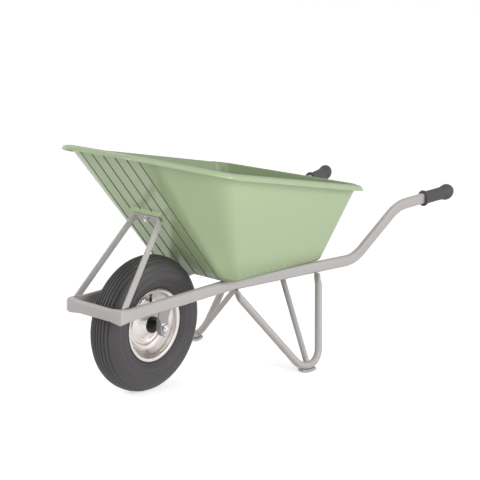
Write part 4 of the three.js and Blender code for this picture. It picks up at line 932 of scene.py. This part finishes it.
def tyre_profile():
    """Closed section [radius, along]: a rounded-square tread with ribs all round it, sidewalls
    with raised rings, the two beads and the inside."""
    tall, half = TYRE_SECTION / 2, TYRE_WIDTH / 2
    centre = AXLE_Z - tall

    def rounded_square(angle, less_tall=0, less_wide=0):
        """Superellipse: cos and sin of the angle, each to the power 2 / squareness."""
        power = 2 / TYRE_SQUARENESS
        return np.stack([centre + (tall - less_tall) * np.cos(angle) ** power,
                         (half - less_wide) * np.sin(angle) ** power], -1)

    tread = rounded_square(np.linspace(0, 1, 74) ** 1.15 * np.pi / 2)
    wide = np.linspace(0, half, 90)
    ribbed = wide[wide < TREAD_HALF]
    height = (1 - (ribbed / half) ** TYRE_SQUARENESS) ** (1 / TYRE_SQUARENESS)
    rib = 0.5 - 0.5 * np.cos(2 * np.pi * ribbed / RIB_PITCH)
    crown = np.stack([centre + tall * height - RIB_DEPTH * rib ** 3, ribbed], -1)
    shoulder = tread[tread[:, 1] > ribbed[-1] + 0.5]
    flange = RIM_FLANGE_RADIUS + RIM_SHEET
    bead_half = RIM_WIDTH / 2 - RIM_SHEET / 2 - GAP
    bead_radius = RIM_SEAT_RADIUS + RIM_SHEET / 2 + 2 * GAP
    # The sidewall curves in from the widest point to the rim's flange, and carries its rings.
    wall = eased((centre, half), (centre - 28, half), (flange, bead_half), 60)[1:]
    side = np.vstack([shoulder, wall])
    for ring in SIDEWALL_RINGS:
        side[:, 1] += SIDEWALL_RING_SIZE * np.exp(-((side[:, 0] - ring) / SIDEWALL_RING_SIZE) ** 2)
    outer = np.vstack([crown, side, [(bead_radius + BEAD_CHAMFER, bead_half),
                                     (bead_radius, bead_half - BEAD_CHAMFER)]])
    inner = np.vstack([rounded_square(np.linspace(0, np.pi / 2, 12), TYRE_CROWN_WALL, TYRE_SIDE_WALL),
                       [(centre - 22, half - 8.4), (flange, bead_half - BEAD_WIDTH),
                        (bead_radius, bead_half - BEAD_WIDTH)]])
    flip = (1, -1)
    return np.vstack([(outer[1:] * flip)[::-1], outer, inner[::-1], (inner[1:] * flip)])


finish(turned("ribbed_tyre", *tyre_profile().T, AXLE_POINT, steps=160, closed=True, sharp=50),
       TYRE_RUBBER, "tyre", "wheel", "tyre")

for name, side in SIDES:
    section = sheet_loop(rounded_line(RIM_LINE, RIM_BENDS, 7), RIM_SHEET) * (1, side)
    finish(turned(f"{name}_pressed_rim", *section.T, AXLE_POINT, steps=144, closed=True, sharp=50),
           RIM_ZINC, "rim_zinc", "wheel", f"{name}_rim_half")


# -------- axle brackets

EAR_FACE = EAR_INNER + EAR_THICKNESS / 2


def channel(half_width, fold):
    """Closed section of the bracket's sheet: a plate with a bent front edge, whose bend radius
    shrinks with the plate's width."""
    half, sheet = EAR_THICKNESS / 2, min(EAR_THICKNESS, half_width)
    corners = [(0, half), (-half_width, half), (-half_width, -half - fold),
               (sheet - half_width, -half - fold), (sheet - half_width, -half), (half_width, -half),
               (half_width, half), (0, half)]
    small = min(1, half_width / 8)
    bends = np.array([4.5, min(1, fold / 2.5), min(1, fold / 2.5), min(2, fold / 2), 1, 1]) * small
    return rounded_line(corners, np.maximum(bends, 0.02), 4)[:-1]


def axle_bracket(side):
    """The channel carried up its plate and through a joggle to the rail's inner face. Its foot is
    a half circle: at the angle phi its half width is R sin phi. The folded edge ends at the joggle."""
    rail_face = RAIL_HALF_SPACING - TUBE_WIDTH / 2 - GAP - EAR_THICKNESS / 2
    joggle_z = rail_z(0) - TUBE_HEIGHT / 2 - EAR_JOGGLE_DROP
    tab_z = joggle_z + EAR_JOGGLE_DROP + EAR_JOGGLE_RISE
    corners = [(0, EAR_FACE, AXLE_Z), (0, EAR_FACE, joggle_z), (0, rail_face, tab_z),
               (0, rail_face, tab_z + EAR_TAB_HEIGHT)]
    points, tangents = bent_path(mirrored(corners, side), (EAR_BEND_RADIUS, EAR_BEND_RADIUS), 6, 6)
    phi = np.radians([5, 10, 18, 27, 36, 45, 54, 63, 72, 81])
    foot = np.stack([0 * phi, 0 * phi + side * EAR_FACE, AXLE_Z - EAR_WIDTH / 2 * np.cos(phi)], -1)
    points = np.vstack([foot, points])
    tangents = np.vstack([np.broadcast_to((0.0, 0, 1), foot.shape), tangents])
    below = np.clip((AXLE_Z - points[:, 2]) / (EAR_WIDTH / 2), 0, 1)
    width = EAR_WIDTH / 2 * np.sqrt(1 - below ** 2)
    folded = 1 - smooth(joggle_z, joggle_z + EAR_FOLD_END, points[:, 2])
    fold = np.maximum((EAR_FLANGE - EAR_THICKNESS) * folded, 0.3)
    section = np.array([channel(w, f) for w, f in zip(width, fold)]) * (1, side)
    return carried(points, tangents, (1, 0, 0), section * (1, -1))


# The brackets carry the darker paint, which is painted shade for the rail's shadow.
for name, side in SIDES:
    finish(skin(f"{name}_folded_bracket", axle_bracket(side)), SHADED_BRACKET_PAINT, "frame_paint", "frame",
           f"{name}_axle_bracket")


# -------- fasteners

def washer(node, radius, thickness, bore, at, axis):
    """Lathe of a flat ring with rounded edges."""
    half = thickness / 2
    loop = [(bore, 0), (bore, half), (radius, half), (radius, -half), (bore, -half), (bore, 0)]
    section = rounded_line(loop, (0.3, 0.5, 0.5, 0.3), 3)[:-1]
    finish(turned(f"{node}_ring", *section.T, at, axis, 48, True), *PLATED, node)


def hex_nut(node, across, height, bore, at, axis, spin):
    """Hexagon chamfered at both ends: at each angle the radius is the lesser of the hexagon's and
    a cone that opens at 30 degrees from each face."""
    count = 72
    angle = 2 * np.pi * np.arange(count) / count
    hexagon = across / 2 / np.cos((angle + spin) % (np.pi / 3) - np.pi / 6)
    half = height / 2
    inset = np.array([0, 0.25, 0.5, 0.8, 1.1, 1.5, 2.2])
    along = np.r_[-half + inset, 0, half - inset[::-1]]
    outer = np.minimum(hexagon, across * 0.475 + 1.73 * (half - np.abs(along))[:, None])
    hole, mouth = np.full(count, bore), np.full(count, bore + 0.7)
    along = np.r_[0.6 - half, -half, along, half, half - 0.6]
    finish(turned(f"{node}_chamfered", np.vstack([hole, mouth, outer, mouth, hole]), along, at, axis,
                  count, True, 25), *PLATED, node)


def thread(along, start, end, radius, pitch, tip, count):
    """Radius of a screw thread at each station and angle: one groove a turn, with round roots,
    and a chamfer that is `tip` deep at the end."""
    angle = 2 * np.pi * np.arange(count) / count
    wave = 0.5 - 0.5 * np.cos(2 * np.pi * along[:, None] / pitch - angle)
    screw = radius - 0.61 * pitch * wave * smooth(start - pitch, start, along)[:, None]
    return np.minimum(screw, radius - tip + (end - along)[:, None] * 1.1)


def carriage_bolt(node, at, axis, length):
    """A domed head, a plain shank and a rolled thread that ends in a chamfer."""
    dome = np.radians(np.linspace(88, 0, 12))
    head = np.stack([BOLT_HEAD_RADIUS * np.cos(dome), -0.4 - (BOLT_HEAD_HEIGHT - 0.4) * np.sin(dome)], -1)
    neck = np.array([(BOLT_HEAD_RADIUS - 0.2, -0.05), (BOLT_RADIUS + 0.1, 0), (BOLT_RADIUS, 0.4)])
    plain = np.vstack([head, neck])
    along = np.arange(length - BOLT_THREAD, length, 0.16)
    screw = thread(along, length - BOLT_THREAD + 1, length, BOLT_RADIUS, BOLT_PITCH, 1.1, 32)
    radius = np.vstack([np.repeat(plain[:, :1], 32, axis=1), screw])
    finish(turned(f"{node}_domed", radius, np.r_[plain[:, 1], along], at, axis, 32, False, 35),
           *PLATED, node)


def bolt_set(base, out, clamped, node, spin):
    """A carriage bolt from its head's seat, with the washer and the nut that hold it. The node's
    name has braces where the word bolt, washer or nut goes."""
    stack = clamped + 2 * GAP + WASHER_THICKNESS + NUT_HEIGHT
    carriage_bolt(node.format("bolt"), base, out, stack + BOLT_TAIL)
    washer(node.format("washer"), WASHER_RADIUS, WASHER_THICKNESS, BOLT_RADIUS + GAP,
           base + out * (clamped + GAP + WASHER_THICKNESS / 2), out)
    hex_nut(node.format("nut"), NUT_ACROSS, NUT_HEIGHT, BOLT_RADIUS,
            base + out * (stack - NUT_HEIGHT / 2), out, spin)


PANEL_WALL = max(-(ring[0] - PANEL_FOOT) @ PANEL_OUT for ring in (CAVITY_FOOT, CAVITY_TOP))
bolt_set(SEAT_MIDDLE - PANEL_OUT * (PANEL_WALL + GAP), PANEL_OUT,
         PANEL_WALL + SEAT_RISE + 2 * GAP + STRAP_THICKNESS, "bracket_{}", 0.4)

DOWN = unit((FLOOR_SLOPE, 0, -1))
BOLT_PLACES = [(x, side * half) for x, half in ((FRONT_MEMBER_X, FRONT_BOLT_HALF),
                                                (REAR_MEMBER_X, REAR_BOLT_HALF)) for _, side in SIDES]
for i, (x, y) in enumerate(BOLT_PLACES, 1):
    bolt_set(np.array([x, y, floor_under(x)]) - DOWN * (TUB_FLOOR + GAP), DOWN,
             TUB_FLOOR + 2 * GAP + MEMBER_THICKNESS, f"tub_{{}}_{i}", 0.9 * i)


def axle_rod():
    """A plain rod whose two ends carry a rolled thread and a chamfer."""
    end = EAR_INNER + EAR_THICKNESS + 2 * GAP + AXLE_WASHER_THICKNESS + AXLE_NUT_HEIGHT + AXLE_TAIL
    start = end - AXLE_THREAD
    tip = np.arange(start, end, 0.22)
    along = np.r_[-tip[::-1], np.linspace(-start, start, 12)[1:-1], tip]
    radius = thread(np.abs(along), start + 2, end, AXLE_RADIUS, AXLE_PITCH, 1.5, 40)
    return turned("threaded_axle", radius, along, AXLE_POINT, (0, 1, 0), 40, False, 35)


finish(axle_rod(), *PLATED, "axle")
for name, side in SIDES:
    outward = np.array([0, side, 0])
    face = EAR_INNER + EAR_THICKNESS + GAP
    washer(f"{name}_axle_washer", AXLE_WASHER_RADIUS, AXLE_WASHER_THICKNESS, AXLE_RADIUS + GAP,
           AXLE_POINT + outward * (face + AXLE_WASHER_THICKNESS / 2), outward)
    hex_nut(f"{name}_axle_nut", AXLE_NUT_ACROSS, AXLE_NUT_HEIGHT, AXLE_RADIUS,
            AXLE_POINT + outward * (face + AXLE_WASHER_THICKNESS + GAP + AXLE_NUT_HEIGHT / 2), outward, 0.5)


# -------- cross members

for name, x in (("front_cross_member", FRONT_MEMBER_X), ("rear_cross_member", REAR_MEMBER_X)):
    reach = rail_y(x) - TUBE_WIDTH / 2 - GAP
    y = np.r_[-reach, 0.7 - reach, np.linspace(-reach + 20, reach - 20, 9), reach - 0.7, reach]
    section = np.repeat(bar(MEMBER_WIDTH, MEMBER_THICKNESS, BAR_EDGE)[None], len(y), axis=0)
    section[[0, -1]] = bar(MEMBER_WIDTH - 1.2, MEMBER_THICKNESS - 1.2, BAR_EDGE / 2)
    rings = carried(*across_at(x, y, member_top(x) - MEMBER_THICKNESS / 2), (1, 0, FLOOR_SLOPE), section)
    rings[..., 1] *= 1 + SPLAY_SLOPE * (rings[..., 0] - x) / reach
    finish(skin(f"{name}_bar", rings), *PAINTED, name)


# -------- hub, bushes and valve

for name, side in SIDES:
    face = HUB_LENGTH / 2 + GAP
    inner, end = HUB_RADIUS - HUB_WALL - GAP, EAR_INNER - GAP
    # A sleeve in the hub's end, a flange over it, a recess and a collar out to the bracket.
    loop = [(AXLE_RADIUS + GAP, 40), (AXLE_RADIUS + GAP, face - 12), (inner, face - 12), (inner, face),
            (BUSH_FLANGE_RADIUS, face), (BUSH_FLANGE_RADIUS, face + 4), (BUSH_FLANGE_RADIUS - 4, face + 4),
            (BUSH_FLANGE_RADIUS - 5, face + 3), (BUSH_COLLAR_RADIUS + 1.5, face + 3),
            (BUSH_COLLAR_RADIUS, face + 5), (BUSH_COLLAR_RADIUS, end), (AXLE_RADIUS + GAP, end),
            (AXLE_RADIUS + GAP, 40)]
    section = rounded_line(loop, (0.5, 0.5, 0.2, 0.5, 1.2, 1.0, 0.3, 0.8, 2, 1, 0.5), 4)[:-1] * (1, side)
    finish(turned(f"{name}_flanged_bush", *section.T, AXLE_POINT, (0, 1, 0), 72, True), *NYLON,
           f"{name}_wheel_bush")

VALVE_AT = AXLE_POINT - (0, VALVE_OFFSET, 0)


def valve_stem():
    """A rubber stem: a slim neck to the cap, a thick foot, and a shoulder that seats in the rim."""
    line = np.array([(1.0, VALVE_TIP_RADIUS), (2.3, VALVE_TIP_RADIUS), (2.6, VALVE_TIP_RADIUS + 0.6),
                     (2.6, 83), (3.2, 85), (4.2, 87), (4.4, 88), (4.4, 90), (4, 91),
                     (4, RIM_SEAT_RADIUS + 3.7)])
    return turned("rubber_valve_stem", *line.T, VALVE_AT, (0, 0, 1), 32)


def valve_cap():
    """A cap that narrows to its tip, knurled by a cosine of the angle, with its bore."""
    along = np.linspace(0, CAP_LENGTH, 24)
    angle = 2 * np.pi * np.arange(108) / 108
    knurl = CAP_KNURL * np.cos(CAP_KNURLS * angle) * smooth(1.5, 2.5, along)[:, None]
    body = CAP_RADIUS - 1.1 * (1 - smooth(0, 1.6, along))
    radius = body[:, None] + knurl * (1 - smooth(9, 10, along))[:, None]
    radius = np.vstack([radius, np.full((2, 108), 2.9)])
    along = np.r_[along, CAP_LENGTH, 3]
    return turned("knurled_valve_cap", radius, along + VALVE_TIP_RADIUS - 1.5, VALVE_AT, (0, 0, 1), 108,
                  False, 60)


finish(valve_stem(), TUBE_RUBBER, "inner_rubber", "wheel", "valve_stem")
finish(valve_cap(), *NYLON, "valve_cap")


# -------- grips

def grip(side):
    """Ellipses carried along the handle: out of the bore, over the collar and its groove, along
    the body, up a hollow flare and round the knob. Each has a width and a height."""
    back = np.array([GRIP_END_WALL, GRIP_LENGTH - 1, *GRIP_COLLAR[:, 0]])
    size = np.array([GRIP_BORE, GRIP_BORE, *GRIP_COLLAR[:, 1:]])
    run = np.linspace(GRIP_COLLAR[-1, 0], 0, 46)[1:]
    swell = 1 - smooth(GRIP_SWELL_END, GRIP_SWELL_START, run)
    tip = np.sqrt(1 - (np.clip(GRIP_SWELL_END - run, 0, None) / (GRIP_SWELL_END * 1.28)) ** 2)
    width = (GRIP_WIDTH + (GRIP_KNOB_WIDTH - GRIP_WIDTH) * swell) * tip
    height = (GRIP_HEIGHT + (GRIP_KNOB_HEIGHT - GRIP_HEIGHT) * swell) * tip
    back = np.r_[back, run, 0]
    size = np.vstack([size, np.stack([width, height], -1), [(width[-1] * 0.5, height[-1] * 0.5)]])
    angle = 2 * np.pi * np.arange(48) / 48
    round_one = np.stack([np.cos(angle), np.sin(angle)], -1) / 2
    section = round_one * size[:, None]
    section[:2] = oval(*GRIP_BORE, 48)
    axis = mirrored(HANDLE_AXIS, side)
    points = mirrored(GRIP_END, side) - axis * back[:, None]
    return carried(points, np.broadcast_to(axis, points.shape), np.cross(axis, (0, 0, 1)), section)


for name, side in SIDES:
    finish(skin(f"{name}_rubber_grip", grip(side), sharp=60), GRIP_RUBBER, "grip_rubber", "frame",
           f"{name}_grip")


# -------- camera, light and stage

scene = bpy.context.scene
scene.view_settings.view_transform = "Standard"

CAMERA_ANGLES = (-51.7286, 11.7212, 2.8306)
CAMERA_FROM_AXLE = (-2577.70, -2364.23, 1180.78)
CAMERA_SENSOR = 36
CAMERA_LENS = 94.1034
CAMERA_REACH = 200
WORLD_STRENGTH = 0.24
FLOOR_REACH = 60
FLOOR_GREY = (0.82, 0.82, 0.82, 1)
FLOOR_LIFT = 0.6
WHITE = (1, 1, 1, 1)


def camera():
    """Low three-quarter view from ahead and to the left, on a 94 mm lens: turned about the
    vertical, tipped down from the level and rolled a little."""
    azimuth, lift, roll = CAMERA_ANGLES
    turn = Matrix.Identity(4)
    for angle, about in ((azimuth, "Z"), (90 - lift, "X"), (roll, "Z")):
        turn = turn @ Matrix.Rotation(radians(angle), 4, about)
    data = bpy.data.cameras.new("camera")
    data.sensor_width = CAMERA_SENSOR
    data.lens = CAMERA_LENS
    data.clip_end = CAMERA_REACH
    shot = bpy.data.objects.new("camera", data)
    place = (np.array(CAMERA_FROM_AXLE) + (AXLE[0], 0, 0)) * MM
    shot.matrix_world = Matrix.Translation(Vector(place)) @ turn
    scene.collection.objects.link(shot)
    scene.camera = shot


def lamp(name, kind, power, toward, at=(0, 0, 0)):
    """A light that shines from a point along a direction."""
    light = bpy.data.objects.new(name, bpy.data.lights.new(name, kind))
    light.data.energy = power
    light.location = at
    light.rotation_euler = Vector(toward).to_track_quat("-Z", "Y").to_euler()
    scene.collection.objects.link(light)
    return light


def sun(name, toward, strength, degrees):
    """A distant light that shines along a direction, softened by its width in degrees."""
    lamp(name, "SUN", strength, toward).data.angle = radians(degrees)


def softbox(name, at, aim, size, power, glossy=True):
    """A square area light turned to face a point. Glossy surfaces mirror it, or don't."""
    light = lamp(name, "AREA", power, Vector(aim) - Vector(at), at)
    light.data.size = size
    light.visible_glossy = glossy


camera()
sun("near_window", (-0.2, 0.93, -0.25), 0.9, 45)
sun("front_window", (0.85, -0.05, -0.5), 0.62, 45)
sun("far_window", (-0.1, -0.75, -0.8), 0.42, 45)
sun("ceiling", (0.05, 0.05, -1), 0.08, 60)
softbox("near_box", (-0.9, -2.0, 1.0), (-0.2, 0, 0.4), 1.0, 13, False)
softbox("left_strip", (-2.4, 1.2, 1.6), (0, 0, 0.45), 0.4, 14)
softbox("right_strip", (0.9, -2.6, 1.6), (0, 0, 0.45), 0.4, 12)


def seen_or_mirrored(mat):
    """1 for a ray that the camera sends or a glossy surface mirrors, and 0 for the rest."""
    path = put(mat, "ShaderNodeLightPath")
    return put(mat, "ShaderNodeMath", {0: path.outputs["Is Camera Ray"], 1: path.outputs["Is Glossy Ray"]},
               operation="MAXIMUM").outputs[0]


def studio():
    """An even, dim room that the camera and the glossy surfaces see as white."""
    world = scene.world = emptied(bpy.data.worlds.new("studio"))
    plain = put(world, "ShaderNodeBackground", {"Color": WHITE, "Strength": WORLD_STRENGTH})
    white = put(world, "ShaderNodeBackground", {"Color": WHITE, "Strength": 1.0})
    choice = put(world, "ShaderNodeMixShader", {0: seen_or_mirrored(world), 1: plain.outputs[0],
                                                2: white.outputs[0]})
    put(world, "ShaderNodeOutputWorld", {"Surface": choice.outputs[0]})


def floor():
    """A wide pale floor. The camera and the metal see it lifted to white, and it keeps its shadow."""
    mesh = bpy.data.meshes.new("floor")
    corners = [(x * FLOOR_REACH, y * FLOOR_REACH, 0) for x, y in ((-1, -1), (1, -1), (1, 1), (-1, 1))]
    mesh.from_pydata(corners, [], [(0, 1, 2, 3)])
    ground = bpy.data.objects.new("floor", mesh)
    scene.collection.objects.link(ground)
    mat = emptied(bpy.data.materials.new("pale_floor"))
    matt = put(mat, "ShaderNodeBsdfDiffuse", {"Color": FLOOR_GREY}).outputs[0]
    lift = put(mat, "ShaderNodeEmission", {"Color": WHITE, "Strength": FLOOR_LIFT}).outputs[0]
    both = put(mat, "ShaderNodeAddShader", {0: matt, 1: lift}).outputs[0]
    choose = put(mat, "ShaderNodeMixShader", {0: seen_or_mirrored(mat), 1: matt, 2: both})
    put(mat, "ShaderNodeOutputMaterial", {"Surface": choose.outputs[0]})
    ground.data.materials.append(mat)


studio()
floor()

# -------- the nodes that keep their shape

for name, shown in (("inner_tube", TUBE_RUBBER), ("hub_tube", RIM_ZINC)):
    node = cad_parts[name]
    node.data.materials.clear()
    node.data.materials.append(shown)
